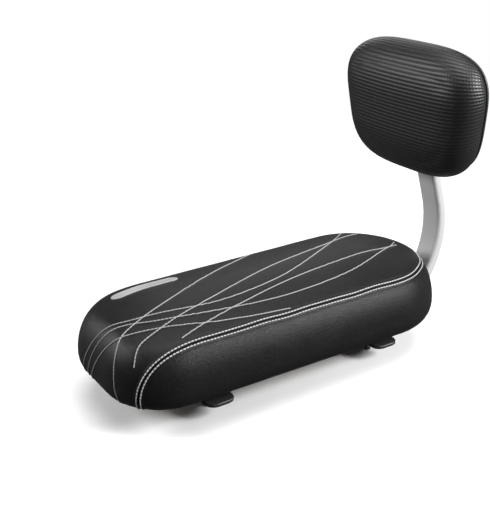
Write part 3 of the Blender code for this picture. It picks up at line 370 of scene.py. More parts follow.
class PadShape:
    """A padded form on a rounded outline, with a place for every pair (column, length).

    Column runs round the outline; length runs over the surface, square to the outline, from 0 at the
    edge of the crown: negative inwards to the middle line, positive down the shoulder, the tucked side
    and the hem. The crown is a parabola across the middle and the same dome at both ends. The shoulder is
    part of a quarter ellipse, the tuck a whole one, and the hem is flat.
    """

    def __init__(self, loop, spine, run, widest, edge, crown, tuck, bottom, hem):
        self.points, self.normals, self.step = loop
        self.count = len(self.points)
        self.run, self.widest, self.crown, self.tuck = run, widest, crown, tuck
        self.bottom, self.hem, self.spine = bottom, hem, spine
        half = self.points[:, 0].max()
        fall = edge - widest
        self.last = math.atan2(fall, run * 2 * crown / (half - run))
        self.edge_inset = run * (1 - math.cos(self.last))
        self.base = widest + fall * math.sin(self.last)
        self.ring = self.points - self.normals * self.edge_inset
        self.front, self.rear = self.ring[:, 1].min(), self.ring[:, 1].max()
        middle_y = np.interp(self.ring[:, 1], (self.front, self.rear), spine)
        self.middle = np.column_stack([np.zeros(self.count), middle_y])
        self.reach = np.linalg.norm(self.ring - self.middle, axis=1)
        self.half_width = np.polyfit(*self.straight_side(), 1)
        self.ring_height = self.base + self.rise(self.ring[:, 0], self.ring[:, 1])
        self.stations = np.linspace(1.0, 4.0, PROFILE_STATIONS)
        inset, height = self.profile(self.stations, self.base)
        lengths = np.hypot(np.diff(inset), np.diff(height))
        self.lengths = np.concatenate([[0.0], np.cumsum(lengths)])
        self.total = self.lengths[-1]
        self.tuck_end = np.interp(3.0, self.stations, self.lengths)
        self.swell = None

    def straight_side(self):
        """The ring's places along the pad and its half widths there, on the straight side alone."""
        side = self.normals[:, 0] > STRAIGHT_SIDE
        return self.ring[side, 1], self.ring[side, 0]

    def rise(self, x, y):
        """Crown height: one less the squared shares of the half width and of the reach past the spine."""
        across = x / np.polyval(self.half_width, y)
        past_rear = np.maximum(y - self.spine[1], 0) / (self.rear - self.spine[1])
        past_front = np.maximum(self.spine[0] - y, 0) / (self.spine[0] - self.front)
        return self.crown * (1 - across**2 - past_rear**2 - past_front**2)

    def profile(self, station, ring_height):
        """Inset and height at a station: 1 is the crown's edge, 2 the widest line, 3 the tuck, 4 the end."""
        angle = self.last * np.clip(2 - station, 0, 1)
        inset = self.run * (1 - np.cos(angle))
        height = self.widest + (ring_height - self.widest) * np.sin(angle) / math.sin(self.last)
        turn = np.clip(station - 2, 0, 1) * math.pi / 2
        inset = inset + self.tuck * (1 - np.cos(turn))
        height = height - (self.widest - self.bottom) * np.sin(turn)
        return inset + self.hem * np.clip(station - 3, 0, 1), height

    def around(self, column, values):
        """Values given once for each column, read at fractional columns."""
        place = np.arange(self.count + 1)
        closed = np.concatenate([values, values[:1]])
        return np.interp(np.mod(column, self.count), place, closed)

    def station(self, column, length):
        """The station at a length: the share of the way from the middle line, or the profile's own table."""
        inside = 1 + length / self.around(column, self.reach)
        return np.where(length < 0, inside, np.interp(length, self.lengths, self.stations))

    def base_points(self, column, length):
        """Points of the unswollen surface."""
        station = self.station(column, length)
        ring = np.stack([self.around(column, self.ring[:, i]) for i in (0, 1)], axis=-1)
        middle_y = self.around(column, self.middle[:, 1])
        share = np.clip(station, 0, 1)[..., None]
        middle = np.stack([np.zeros_like(middle_y), middle_y], axis=-1)
        plan = middle + (ring - middle) * share
        inset, height = self.profile(np.maximum(station, 1), self.around(column, self.ring_height))
        normal = unit(np.stack([self.around(column, self.normals[:, i]) for i in (0, 1)], axis=-1))
        plan = plan + normal * ((self.edge_inset - inset) * (station > 1))[..., None]
        crown = self.base + self.rise(plan[..., 0], plan[..., 1])
        return np.concatenate([plan, np.where(station < 1, crown, height)[..., None]], axis=-1)

    def normal(self, column, length):
        """Outward unit normals, from the surface's own slopes in both directions."""
        around, along = 0.5, 0.0004
        up = self.base_points(column + around, length) - self.base_points(column - around, length)
        out = self.base_points(column, length + along) - self.base_points(column, length - along)
        return unit(np.cross(out, up) + (0.0, 0.0, 1e-12))

    def place(self, column, length, lift=0.0):
        """Points of the finished surface: the base, its swelling, and a lift along the normal."""
        column, length = np.broadcast_arrays(np.asarray(column, float), np.asarray(length, float))
        base, normal = self.base_points(column, length), self.normal(column, length)
        rise = np.asarray(lift) + self.swelling(column, length)
        return base + normal * np.broadcast_to(rise, column.shape)[..., None]

    def swelling(self, column, length):
        """How far the filled cover stands out, read between the points of its map by two straight blends."""
        if self.swell is None:
            return np.zeros(np.shape(length))
        rows, columns = self.swell.shape
        y = np.clip(self.station(column, length) / 4, 0, 1) * (rows - 1)
        x = np.mod(column, self.count) / self.count * columns
        y0, x0 = np.clip(y.astype(int), 0, rows - 2), x.astype(int) % columns
        fy, fx = y - y0, x - np.floor(x)
        x1 = (x0 + 1) % columns
        low = self.swell[y0, x0] * (1 - fx) + self.swell[y0, x1] * fx
        high = self.swell[y0 + 1, x0] * (1 - fx) + self.swell[y0 + 1, x1] * fx
        return low * (1 - fy) + high * fy

    def flat_cut(self, column, length):
        """Each point's place in the flat cut: the plan on the crown, unrolled outwards past its edge."""
        inside = self.base_points(column, np.minimum(length, 0))[..., :2]
        normal = np.stack([self.around(column, self.normals[:, i]) for i in (0, 1)], axis=-1)
        return inside + normal * np.maximum(length, 0)[..., None]


def seat_shape():
    """The seat's padded form, measured from the solid's own box."""
    low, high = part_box("seat_cover")
    front, rear = SEAT_FRONT_WIDTH / 2, SEAT_REAR_WIDTH / 2
    corners = [(front, low.y), (rear, high.y), (-rear, high.y), (-front, low.y)]
    radii = (SEAT_FRONT_RADIUS, SEAT_REAR_RADIUS, SEAT_REAR_RADIUS, SEAT_FRONT_RADIUS)
    return PadShape(
        loop=rounded_loop(corners, radii, SEAT_COLUMNS, SEAT_OUTLINE_SOFTNESS),
        spine=(low.y + front, high.y - rear),
        run=SEAT_SHOULDER_RUN,
        widest=SEAT_WIDEST,
        edge=high.z - SEAT_CROWN + SEAT_EDGE_RISE,
        crown=SEAT_CROWN,
        tuck=SEAT_UNDERCUT,
        bottom=low.z,
        hem=SEAT_HEM,
    )


def pad_shape():
    """The backrest's padded form, in its own leaning frame."""
    return PadShape(
        loop=bowed_loop(),
        spine=(-PAD_SPINE_LENGTH / 2, PAD_SPINE_LENGTH / 2),
        run=PAD_FRONT_RUN,
        widest=PAD_WIDEST,
        edge=PAD_DEPTH - PAD_CROWN,
        crown=PAD_CROWN,
        tuck=PAD_UNDERCUT,
        bottom=PAD_HEM_FACE,
        hem=PAD_HEM,
    )


def pad_frame():
    """The backrest's own frame: its rear face's middle, leaning back, with its local Z to the front."""
    low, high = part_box("backrest_back_panel")
    lean = math.radians(PAD_LEAN_DEG)
    rear = Vector((0.0, math.cos(lean), math.sin(lean)))
    middle = (low + high) / 2 + rear * (PANEL_THICKNESS / 2)
    return Matrix.Translation(middle) @ Matrix.Rotation(math.pi / 2 + lean, 4, "X")


def moved(points, matrix):
    """Points carried by a 4 x 4 matrix, or left where they are without one."""
    if matrix is None:
        return points
    values = np.array(matrix, float)
    return np.asarray(points) @ values[:3, :3].T + values[:3, 3]


class Tree:
    """A material's nodes, added and joined with few words."""

    def __init__(self, name, **inputs):
        self.material = bpy.data.materials.new(name)
        self.material.use_nodes = True
        self.nodes = self.material.node_tree.nodes
        self.links = self.material.node_tree.links
        self.shader = self.nodes["Principled BSDF"]
        self.set(self.shader, **inputs)

    def set(self, node, **inputs):
        """Sets a node's inputs by their names, with underscores for spaces."""
        for key, value in inputs.items():
            socket = node.inputs[key.replace("_", " ")]
            if isinstance(value, bpy.types.NodeSocket):
                self.links.new(value, socket)
            else:
                opaque = socket.type == "RGBA" and len(value) == 3
                socket.default_value = (*value, 1.0) if opaque else value
        return node

    def add(self, kind, settings=None, **inputs):
        """Adds a node of this kind with its settings and inputs."""
        node = self.nodes.new("ShaderNode" + kind)
        for key, value in (settings or {}).items():
            setattr(node, key, value)
        return self.set(node, **inputs)

    def place(self, scale=(1.0, 1.0, 1.0), turn=(0.0, 0.0, 0.0), cut=False):
        """Coordinates: the object's own metres, or the flat cut's, scaled and turned."""
        if cut:
            source = self.add("UVMap", {"uv_map": "cut"}).outputs["UV"]
        else:
            source = self.add("TexCoord").outputs["Object"]
        mapping = self.add("Mapping", Vector=source, Rotation=turn, Scale=scale)
        return mapping.outputs["Vector"]

    def noise(self, place, scale, detail=3.0, roughness=0.5):
        """Cloud noise, from 0 to 1."""
        node = self.add("TexNoise", Vector=place, Scale=scale, Detail=detail, Roughness=roughness)
        return node.outputs["Fac"]

    def cells(self, place, scale, feature="F1"):
        """Distance to cell centres or to cell edges."""
        return self.add("TexVoronoi", {"feature": feature}, Vector=place, Scale=scale).outputs["Distance"]

    def math(self, operation, first, second=0.0, third=0.0):
        """One sum of up to three values."""
        node = self.add("Math", {"operation": operation})
        for socket, value in zip(node.inputs, (first, second, third)):
            if isinstance(value, bpy.types.NodeSocket):
                self.links.new(value, socket)
            else:
                socket.default_value = value
        return node.outputs[0]

    def ramp(self, value, low=0.3, high=0.7, start=0.0, stop=1.0):
        """A value carried from low..high to start..stop, without going past."""
        node = self.add("MapRange", Value=value, From_Min=low, From_Max=high, To_Min=start, To_Max=stop)
        return node.outputs["Result"]

    def blend(self, share, first, second):
        """One colour mixed into another by a share."""
        node = self.add("Mix", {"data_type": "RGBA"})
        self.links.new(share, node.inputs[0])
        for socket, colour in ((node.inputs[6], first), (node.inputs[7], second)):
            if isinstance(colour, bpy.types.NodeSocket):
                self.links.new(colour, socket)
            else:
                socket.default_value = (*colour, 1.0)
        return node.outputs[2]

    def bump(self, height, distance, strength=1.0, below=None):
        """A bump from a height, stacked on the bump below it."""
        node = self.add("Bump", Height=height, Distance=distance, Strength=strength)
        if below is not None:
            self.links.new(below, node.inputs["Normal"])
        return node.outputs["Normal"]

    def finish(self, **inputs):
        """Joins the last sockets to the shader and gives the material."""
        self.set(self.shader, **inputs)
        return self.material


def darker(colour, share):
    """A colour at a share of its strength."""
    return tuple(part * share for part in colour)


def leather(name, colour, roughness, grain=1.0, specular=0.2):
    """Black leatherette: small pebbles between fine creases, cloudy in colour and in gloss."""
    tree = Tree(name, Specular_IOR_Level=specular)
    here = tree.place()
    pebbles = tree.cells(here, scale=950.0, feature="DISTANCE_TO_EDGE")
    pores = tree.noise(here, scale=2600.0, detail=2.0)
    cloud = tree.noise(here, scale=28.0, detail=4.0)
    mottle = tree.noise(here, scale=420.0, roughness=0.6)
    normal = tree.bump(mottle, distance=0.00016 * grain, strength=0.5)
    crowns = tree.ramp(pebbles, low=0.0, high=0.22)
    normal = tree.bump(crowns, distance=0.00012 * grain, strength=0.55, below=normal)
    normal = tree.bump(pores, distance=0.00005 * grain, strength=0.35, below=normal)
    shade = tree.math("ADD", tree.math("MULTIPLY", mottle, 0.6), tree.math("MULTIPLY", cloud, 0.4))
    colour_share = tree.ramp(shade, low=0.35, high=0.65)
    gloss = tree.ramp(shade, low=0.35, high=0.65, start=roughness - 0.08, stop=roughness + 0.08)
    return tree.finish(
        Base_Color=tree.blend(colour_share, darker(colour, 0.60), colour), Roughness=gloss, Normal=normal
    )


def woven_vinyl(name, colour):
    """Black woven-look vinyl: ribs across the pad, each faintly broken into floats that step like twill."""
    tree = Tree(name, Specular_IOR_Level=0.50)
    parts = tree.add("SeparateXYZ", Vector=tree.place(cut=True))
    row = tree.math("DIVIDE", parts.outputs["Y"], RIB_PITCH)
    row_number = tree.math("FLOOR", row)
    across = tree.math("SUBTRACT", row, row_number)
    offset = tree.math("MULTIPLY", row_number, FLOAT_SHIFT)
    floats = tree.math("DIVIDE", parts.outputs["X"], FLOAT_LENGTH)
    along = tree.math("FRACT", tree.math("ADD", floats, offset))
    round_row = tree.math("SINE", tree.math("MULTIPLY", across, math.pi))
    round_float = tree.math("SINE", tree.math("MULTIPLY", along, math.pi))
    height = tree.math("MULTIPLY", round_row, tree.math("POWER", round_float, 0.14))
    threads = tree.noise(tree.place((500.0, 2600.0, 1.0), cut=True), scale=1.0, detail=2.0)
    cloud = tree.noise(tree.place(), scale=22.0)
    normal = tree.bump(height, distance=0.00040, strength=0.7)
    normal = tree.bump(threads, distance=0.00006, strength=0.4, below=normal)
    # Colour falls to a quarter in the troughs between ribs and is full on their crests: painted shade in the
    # troughs, with a little random cloud
    shade = tree.math("MULTIPLY", height, tree.ramp(cloud, start=0.85))
    gloss = tree.ramp(height, low=0.0, high=1.0, start=0.60, stop=0.38)
    return tree.finish(
        Base_Color=tree.blend(shade, darker(colour, 0.25), colour), Roughness=gloss, Normal=normal
    )


def painted(name, colour, roughness):
    """Paint on steel: orange peel, and fine flakes in the colour."""
    tree = Tree(name, Coat_Weight=0.25, Coat_Roughness=0.2)
    here = tree.place()
    flakes = tree.noise(here, scale=4200.0, detail=1.0)
    cloud = tree.noise(here, scale=35.0)
    peel = tree.noise(here, scale=420.0, detail=2.0)
    return tree.finish(
        Base_Color=tree.blend(tree.ramp(flakes, low=0.35, high=0.65), darker(colour, 0.94), colour),
        Roughness=tree.ramp(cloud, start=roughness - 0.03, stop=roughness + 0.04),
        Normal=tree.bump(peel, distance=0.00008, strength=0.3),
    )


def zinc(name):
    """Bright zinc plate: spangled in gloss, with fine turning marks."""
    tree = Tree(name, Metallic=1.0)
    here = tree.place()
    spangle = tree.cells(here, scale=600.0)
    marks = tree.noise(tree.place((300.0, 300.0, 6000.0)), scale=1.0, detail=2.0)
    cloud = tree.noise(here, scale=90.0)
    return tree.finish(
        Base_Color=tree.blend(tree.ramp(spangle, low=0.0, high=0.8), *ZINC_COLOURS),
        Roughness=tree.ramp(cloud, start=0.22, stop=0.36),
        Normal=tree.bump(marks, distance=0.00002, strength=0.3),
    )


def plastic(name, colour, roughness=0.45, grain=1.0):
    """Moulded plastic with a spark-eroded grain."""
    tree = Tree(name, Specular_IOR_Level=0.4)
    here = tree.place()
    sparks = tree.noise(here, scale=1500.0, roughness=0.6)
    cloud = tree.noise(here, scale=40.0, detail=2.0)
    return tree.finish(
        Base_Color=tree.blend(tree.ramp(cloud), darker(colour, 0.8), colour),
        Roughness=tree.ramp(cloud, start=roughness - 0.04, stop=roughness + 0.05),
        Normal=tree.bump(sparks, distance=0.00008 * grain, strength=0.45),
    )


def plywood(name, thickness, turn=(0.0, 0.0, 0.0)):
    """Birch plywood: stretched grain on the faces and thin darker layers through the edge."""
    tree = Tree(name)
    turned = tree.place(turn=turn)
    grain = tree.noise(tree.place((260.0, 14.0, 14.0), turn), scale=1.0, detail=6.0, roughness=0.6)
    fibre = tree.noise(tree.place((1800.0, 60.0, 60.0), turn), scale=1.0)
    layer = tree.add("SeparateXYZ", Vector=turned).outputs["Z"]
    wave = tree.math("SINE", tree.math("MULTIPLY", layer, 2 * math.pi * PLYWOOD_LAYERS / thickness))
    wood = tree.blend(tree.ramp(grain, low=0.35, high=0.65), *WOOD_COLOURS)
    glue = tree.ramp(wave, low=0.86, high=1.0, stop=0.6)
    return tree.finish(
        Base_Color=tree.blend(glue, wood, GLUE_COLOUR),
        Roughness=tree.ramp(fibre, start=0.62, stop=0.8),
        Normal=tree.bump(fibre, distance=0.0001, strength=0.5),
    )


def foam_finish(name):
    """Cut polyurethane foam: open cells of mixed size, painted darker in their hollows as shade."""
    tree = Tree(name, Subsurface_Weight=0.1, Subsurface_Scale=0.002)
    here = tree.place()
    cells = tree.cells(here, scale=800.0)
    # Colour follows the cells' bump: painted shade in the hollows, lighter on the walls
    return tree.finish(
        Base_Color=tree.blend(tree.ramp(cells, low=0.1), *FOAM_COLOURS),
        Roughness=tree.ramp(cells, low=0.0, high=0.8, start=0.95, stop=0.8),
        Normal=tree.bump(cells, distance=0.0004, strength=0.7),
    )


def thread_finish(name, colour):
    """Twisted polyester thread: fine plies, painted darker between their crowns as shade."""
    tree = Tree(name, Sheen_Weight=0.2)
    plies = tree.noise(tree.place((2400.0, 2400.0, 2400.0)), scale=1.0, detail=2.0)
    # Colour follows the plies' bump: painted shade in the dips, lighter on the crowns
    return tree.finish(
        Base_Color=tree.blend(tree.ramp(plies), darker(colour, 0.7), colour),
        Roughness=tree.ramp(plies, start=0.7, stop=0.55),
        Normal=tree.bump(plies, distance=0.0001, strength=0.6),
    )


def spline(controls, step):
    """A smooth curve through the control points (Catmull-Rom), sampled at equal steps of its length."""
    controls = np.array(controls, float)
    ends = [2 * controls[:1] - controls[1:2], controls, 2 * controls[-1:] - controls[-2:-1]]
    p = np.concatenate(ends)
    t = np.linspace(0, 1, CURVE_STEPS, endpoint=False)[:, None]
    pieces = [
        0.5 * (2 * b + (c - a) * t + (2 * a - 5 * b + 4 * c - d) * t**2 + (3 * b - a - 3 * c + d) * t**3)
        for a, b, c, d in zip(p, p[1:], p[2:], p[3:])
    ]
    return even_steps(np.concatenate(pieces + [controls[-1:]]), step)


def distances(points):
    """Each point's distance from the first, along the line through all of them."""
    return np.concatenate([[0.0], np.cumsum(np.linalg.norm(np.diff(points, axis=0), axis=1))])


def read_along(points, reach, targets):
    """The line's values at the target distances, by straight blends."""
    return np.column_stack([np.interp(targets, reach, points[:, i]) for i in range(points.shape[1])])


def even_steps(points, step):
    """A polyline sampled again at equal distances close to the step."""
    reach = distances(points)
    count = max(2, int(round(reach[-1] / step)) + 1)
    return read_along(points, reach, np.linspace(0, reach[-1], count))


def onto_shape(shape, flat):
    """Places in the flat cut, as columns and lengths of the shape.

    Past the crown's edge it is the nearest point of the edge and the distance from it. On the crown it
    is the ray from the middle line to the edge that passes through the place, and the share along it,
    read between two columns but no further than 0.7 of a column from the nearest ray.
    """
    flat = np.asarray(flat, float)
    offset = flat[:, None] - shape.ring[None]
    near = np.argmin((offset**2).sum(axis=2), axis=1)
    row = np.arange(len(flat))
    direct = offset[row, near]
    away = (direct * shape.normals[near]).sum(axis=1)
    tangent = np.stack([-shape.normals[near][:, 1], shape.normals[near][:, 0]], axis=1)
    column = near + (direct * tangent).sum(axis=1) / shape.step
    ray = shape.ring - shape.middle
    local = flat[:, None] - shape.middle[None]
    forward = (local * ray[None]).sum(axis=2) / (ray**2).sum(axis=1)
    cross = (local[..., 0] * ray[None, :, 1] - local[..., 1] * ray[None, :, 0]) / shape.reach
    inside = np.argmin(np.where(forward >= 0, np.abs(cross), np.inf), axis=1)
    slope = (cross[row, (inside + 1) % shape.count] - cross[row, inside - 1]) / 2
    shift = np.clip(-cross[row, inside] / np.where(slope == 0, 1.0, slope), -0.7, 0.7)
    share = np.clip(forward[row, inside], 0, 1)
    length = np.where(away > 0, away, (share - 1) * shape.reach[inside])
    return np.where(away > 0, column, inside + shift), length


def beads(points, tangents, normals, length, radius, sides=8):
    """One closed capsule on each point, lying along the tangent: half ellipses swept round their axis.

    x = length/2 * sin(a), r = radius * cos(a)^0.6, for a from -90 to 90 degrees.
    """
    angle = np.radians([-62.0, -30.0, 0.0, 30.0, 62.0])
    x, r = np.sin(angle) * length / 2, radius * np.cos(angle) ** 0.6
    turn = np.linspace(0, 2 * math.pi, sides, endpoint=False)
    across = unit(np.cross(tangents, normals))
    up = np.cross(across, tangents)
    rings = np.broadcast_arrays(x[:, None], r[:, None] * np.cos(turn), r[:, None] * np.sin(turn))
    ends = [[-length / 2, 0, 0], [length / 2, 0, 0]]
    local = np.concatenate([np.stack(rings, axis=-1).reshape(-1, 3), ends])
    axes = np.stack([tangents, across, up], axis=1)
    made = points[:, None] + np.einsum("kj,njd->nkd", local, axes)
    count = len(local)
    wall = grid_faces(len(angle), sides)[:, ::-1]
    first = np.arange(sides)
    last = (len(angle) - 1) * sides + first
    head = np.column_stack([np.full(sides, count - 2), np.roll(first, -1), first])[:, ::-1]
    tail = np.column_stack([np.full(sides, count - 1), last, np.roll(last, -1)])[:, ::-1]
    caps = np.concatenate([head, tail])
    shift = (np.arange(len(points)) * count)[:, None, None]
    return made.reshape(-1, 3), [(wall[None] + shift).reshape(-1, 4), (caps[None] + shift).reshape(-1, 3)]


def joined(parts):
    """Several sets of points and faces as one."""
    points, faces, start = [], [], 0
    for some, blocks in parts:
        points.append(some)
        faces.extend(np.asarray(block) + start for block in blocks)
        start += len(some)
    return np.concatenate(points), faces


def zip_middle(faces, count, row_start):
    """Joins the two halves of one row of a grid, which lie on the same middle line."""
    local = faces - row_start
    mirror = (local > count // 2) & (local < count)
    return np.where(mirror, count - local + row_start, faces)


def closed_middles(faces, count, last):
    """Faces of a grid whose first and last rows both lie on the middle line, joined there."""
    return clean(zip_middle(zip_middle(faces, count, 0), count, last))


def clean(faces):
    """Faces that kept all their corners apart, and triangles for those that lost one."""
    same = faces == np.roll(faces, -1, axis=1)
    whole = faces[~same.any(axis=1)]
    lost = faces[same.sum(axis=1) == 1]
    spot = same[same.sum(axis=1) == 1].argmax(axis=1)
    corners = (spot[:, None] + np.array([1, 2, 3])) % 4
    return [block for block in (whole, np.take_along_axis(lost, corners, axis=1)) if len(block)]


def crown_rows(shape, rows):
    """Lengths over the crown, from the middle line out towards its edge, one row after another."""
    share = np.linspace(0, 1, rows, endpoint=False)[:, None]
    return -(1 - share) * shape.reach[None]


def all_columns(shape, length):
    """The column of every place in a grid of lengths."""
    return np.broadcast_to(np.arange(shape.count, dtype=float), length.shape)


def cover_rows(shape, rows, step):
    """The rows of a cover: down its outside to the end of the hem, and back up inside it to the middle.

    Every fourth row goes back up. The third value is the number of rows outside.
    """
    down = np.arange(0.0, shape.total, step)[:, None] * np.ones(shape.count)
    end = np.full((1, shape.count), shape.total)
    outside = np.concatenate([crown_rows(shape, rows), down, end])
    inside = np.concatenate([end, outside[::-1][::4][1:-1], outside[:1]])
    lift = np.concatenate([np.zeros(outside.shape), np.full(inside.shape, -COVER_THICKNESS)])
    return np.concatenate([outside, inside]), lift, len(outside)


def cover_mesh(name, shape, rows, step, relief, matrix=None, panel=None):
    """A closed cover: the shape's own grid outside, and the same grid set in by the thickness inside."""
    length, lift, outer = cover_rows(shape, rows, step)
    column = all_columns(shape, length)
    flat = shape.flat_cut(column, length)
    lift[:outer] += relief(column[:outer], length[:outer], flat[:outer])
    points = moved(shape.place(column, length, lift).reshape(-1, 3), matrix)
    faces = grid_faces(len(length), shape.count)[:, ::-1]
    blocks = closed_middles(faces, shape.count, (len(length) - 1) * shape.count)
    marks = None
    if panel is not None:
        centres = [length.ravel()[block].mean(axis=1) for block in blocks]
        columns = [column.ravel()[block[:, 1]] for block in blocks]
        marks = np.concatenate([panel(*spot) for spot in zip(columns, centres)])
    return add_mesh(name, points, blocks, flat, marks)


def closed_body(name, shape, points, matrix=None):
    """A closed form from rows of points, with a flat bottom from the last row to the middle line."""
    under = np.column_stack([shape.middle, np.full(shape.count, points[-1, 0, 2])])
    rows = np.concatenate([points, under[None]])
    faces = grid_faces(len(rows), shape.count)[:, ::-1]
    blocks = closed_middles(faces, shape.count, (len(rows) - 1) * shape.count)
    return add_mesh(name, moved(rows.reshape(-1, 3), matrix), blocks)


def core_mesh(name, shape, floor, matrix=None):
    """A closed filling just inside the cover, flat on the board below it."""
    heights = shape.profile(shape.stations, shape.base)[1]
    stop = np.interp(-floor, -heights, shape.lengths)
    down = np.linspace(0.0, stop, CORE_SIDE_ROWS)[:, None] * np.ones(shape.count)
    length = np.concatenate([crown_rows(shape, CORE_CROWN_ROWS), down])
    points = shape.place(all_columns(shape, length), length, FOAM_LIFT)
    points[..., 2] = np.maximum(points[..., 2], floor)
    points[-1, :, 2] = floor
    return closed_body(name, shape, points, matrix)


def ribbon(shape, column, length, across, lift):
    """A strip along a line on the shape: each point of its section keeps its distance across and lift."""
    around = np.gradient(column) * shape.step
    along = np.gradient(length)
    size = np.hypot(around, along)
    side_column, side_length = -along / size, around / size
    grid_column = column[None] + across[:, None] * side_column[None] / shape.step
    grid_length = length[None] + across[:, None] * side_length[None]
    points = shape.place(grid_column, grid_length, np.broadcast_to(lift[:, None], grid_length.shape))
    return points.reshape(-1, 3), [grid_faces(len(across), len(column), close_columns=False)]


def swept(section, path, ups):
    """A closed section carried along a path, square to it, with 'up' given at each point: rows of points."""
    tangents = unit(np.gradient(path, axis=0))
    ups = unit(ups - tangents * (ups * tangents).sum(axis=1, keepdims=True))
    sides = np.cross(tangents, ups)
    return path[:, None] + section[None, :, :1] * sides[:, None] + section[None, :, 1:] * ups[:, None]


def rounded_rectangle(width, depth, radius, arc=8):
    """A closed rounded rectangle, counterclockwise: quarter circles joined by straight sides."""
    x, y = width / 2 - radius, depth / 2 - radius
    arcs = []
    for quarter, centre in enumerate([(x, y), (-x, y), (-x, -y), (x, -y)]):
        turn = np.linspace(0, math.pi / 2, arc) + quarter * math.pi / 2
        arcs.append(np.array(centre) + radius * np.column_stack([np.cos(turn), np.sin(turn)]))
    return np.concatenate(arcs)


def filleted(corners, radii, step):
    """A path of straight runs joined by true arcs of the given radii."""
    corners = [np.array(c, float) for c in corners]
    points = [corners[0][None]]
    for back, here, ahead, radius in zip(corners, corners[1:], corners[2:], radii):
        into, out = unit(back - here), unit(ahead - here)
        half = math.acos(float(into @ out)) / 2
        centre = here + unit(into + out) * radius / math.sin(half)
        start = here + into * radius / math.tan(half) - centre
        turn = math.pi - 2 * half
        sweep = np.linspace(0, turn, FILLET_POINTS)[:, None]
        square = unit(out * radius / math.tan(half) + here - centre - start * math.cos(turn))
        points.append(centre + start * np.cos(sweep) + square * radius * np.sin(sweep))
    points.append(corners[-1][None])
    return even_steps(np.concatenate(points), step)


# What one step leaves for the next: the seat's shape, its leather and the silver paint
PARTS = {}


def turned_depth(share):
    """The seam's depth over its turn beside the nose: a quarter of a superellipse, from share 0 to 1."""
    return SEAM_LOW - (SEAM_LOW - SEAM_DEPTH) * (1 - share**SEAM_ROUNDNESS) ** (1 / SEAM_ROUNDNESS)


def seam_course(shape):
    """The side seam as columns and lengths at equal steps: level along the side, then down at the nose."""
    ring = shape.count * shape.step
    turn = np.linspace(0.0, 1.0, 400) ** 2
    fall = SEAM_TURN_END + turn * (SEAM_TURN_START - SEAM_TURN_END)
    share = (SEAM_TURN_START - fall) / (SEAM_TURN_START - SEAM_TURN_END)
    depth = turned_depth(share)
    near = np.column_stack([fall, depth])
    far = np.column_stack([ring - fall[::-1], depth[::-1]])
    course = even_steps(np.concatenate([near, far]), SEAM_STEP)
    course[:, 1] += seam_wave(np.minimum(course[:, 0], ring - course[:, 0]))
    return course[:, 0] / shape.step, course[:, 1]


def seam_wave(along):
    """How far the seam strays up and down past its turn: two sines of unlike length, faded in."""
    fade = np.clip((along - SEAM_TURN_START) / SEAM_WAVE_FADE, 0, 1)
    short = SEAM_SHORT_SHARE * np.sin(2 * math.pi * along / SEAM_SHORT_WAVE)
    return SEAM_WAVE * fade * (np.sin(2 * math.pi * along / SEAM_LONG_WAVE) + short)


def seam_depth(shape, column):
    """The seam's length at each column, past the hem where there is none."""
    ring = shape.count * shape.step
    place = np.mod(column, shape.count)
    along = np.minimum(place, shape.count - place) * shape.step
    share = np.clip((SEAM_TURN_START - along) / (SEAM_TURN_START - SEAM_TURN_END), 0, 1)
    return np.where(along < SEAM_TURN_END, ring, turned_depth(share) + seam_wave(along))


def stitch_courses():
    """The ornamental lines in the flat cut, as smooth curves in metres."""
    return [spline(np.array(line) / 1000.0, LINE_STEP) for line in STITCH_LINES]


def closest(points, targets):
    """Distance from each point to the nearest of the targets, a block of points at a time."""
    block = 4000
    out = np.empty(len(points))
    for start in range(0, len(points), block):
        some = points[start : start + block]
        gap = ((some[:, None] - targets[None]) ** 2).sum(axis=2)
        out[start : start + block] = np.sqrt(gap.min(axis=1))
    return out


def seat_relief(column, length, flat):
    """Grooves under the lines, a dip along the seam (Gaussians of the distance to them), and the pleats."""
    lines = np.concatenate([line[::2] for line in stitch_courses()])
    spot = flat.reshape(-1, 2)
    near = closest(spot, lines).reshape(length.shape)
    groove = -LINE_GROOVE_DEPTH * np.exp(-((near / LINE_GROOVE_WIDTH) ** 2))
    shape = PARTS["seat"]
    seam_column, seam_length = seam_course(shape)
    seam = np.column_stack([seam_column * shape.step, seam_length])[::2]
    spot = np.column_stack([column.ravel() * shape.step, length.ravel()])
    beside = closest(spot, seam).reshape(length.shape)
    dip = -SEAM_DIP_DEPTH * np.exp(-((beside / SEAM_DIP_WIDTH) ** 2))
    return groove + dip + pleats(shape, column, length)


def pleats(shape, column, length):
    """Sine folds round the corners, growing from the start of the tucked side to the end of the hem."""
    bend = np.hypot(*(np.roll(shape.normals, -1, axis=0) - np.roll(shape.normals, 1, axis=0)).T)
    bend = shape.around(column, bend / bend.max())
    grow = np.clip((length - shape.tuck_end + PLEAT_START) / (shape.total - shape.tuck_end), 0, 1)
    stray = PLEAT_STRAY * np.sin(column / PLEAT_STRAY_COLUMNS)
    wave = np.sin(2 * math.pi * column * shape.step / PLEAT_PITCH + stray)
    return PLEAT_HEIGHT * grow * bend * wave


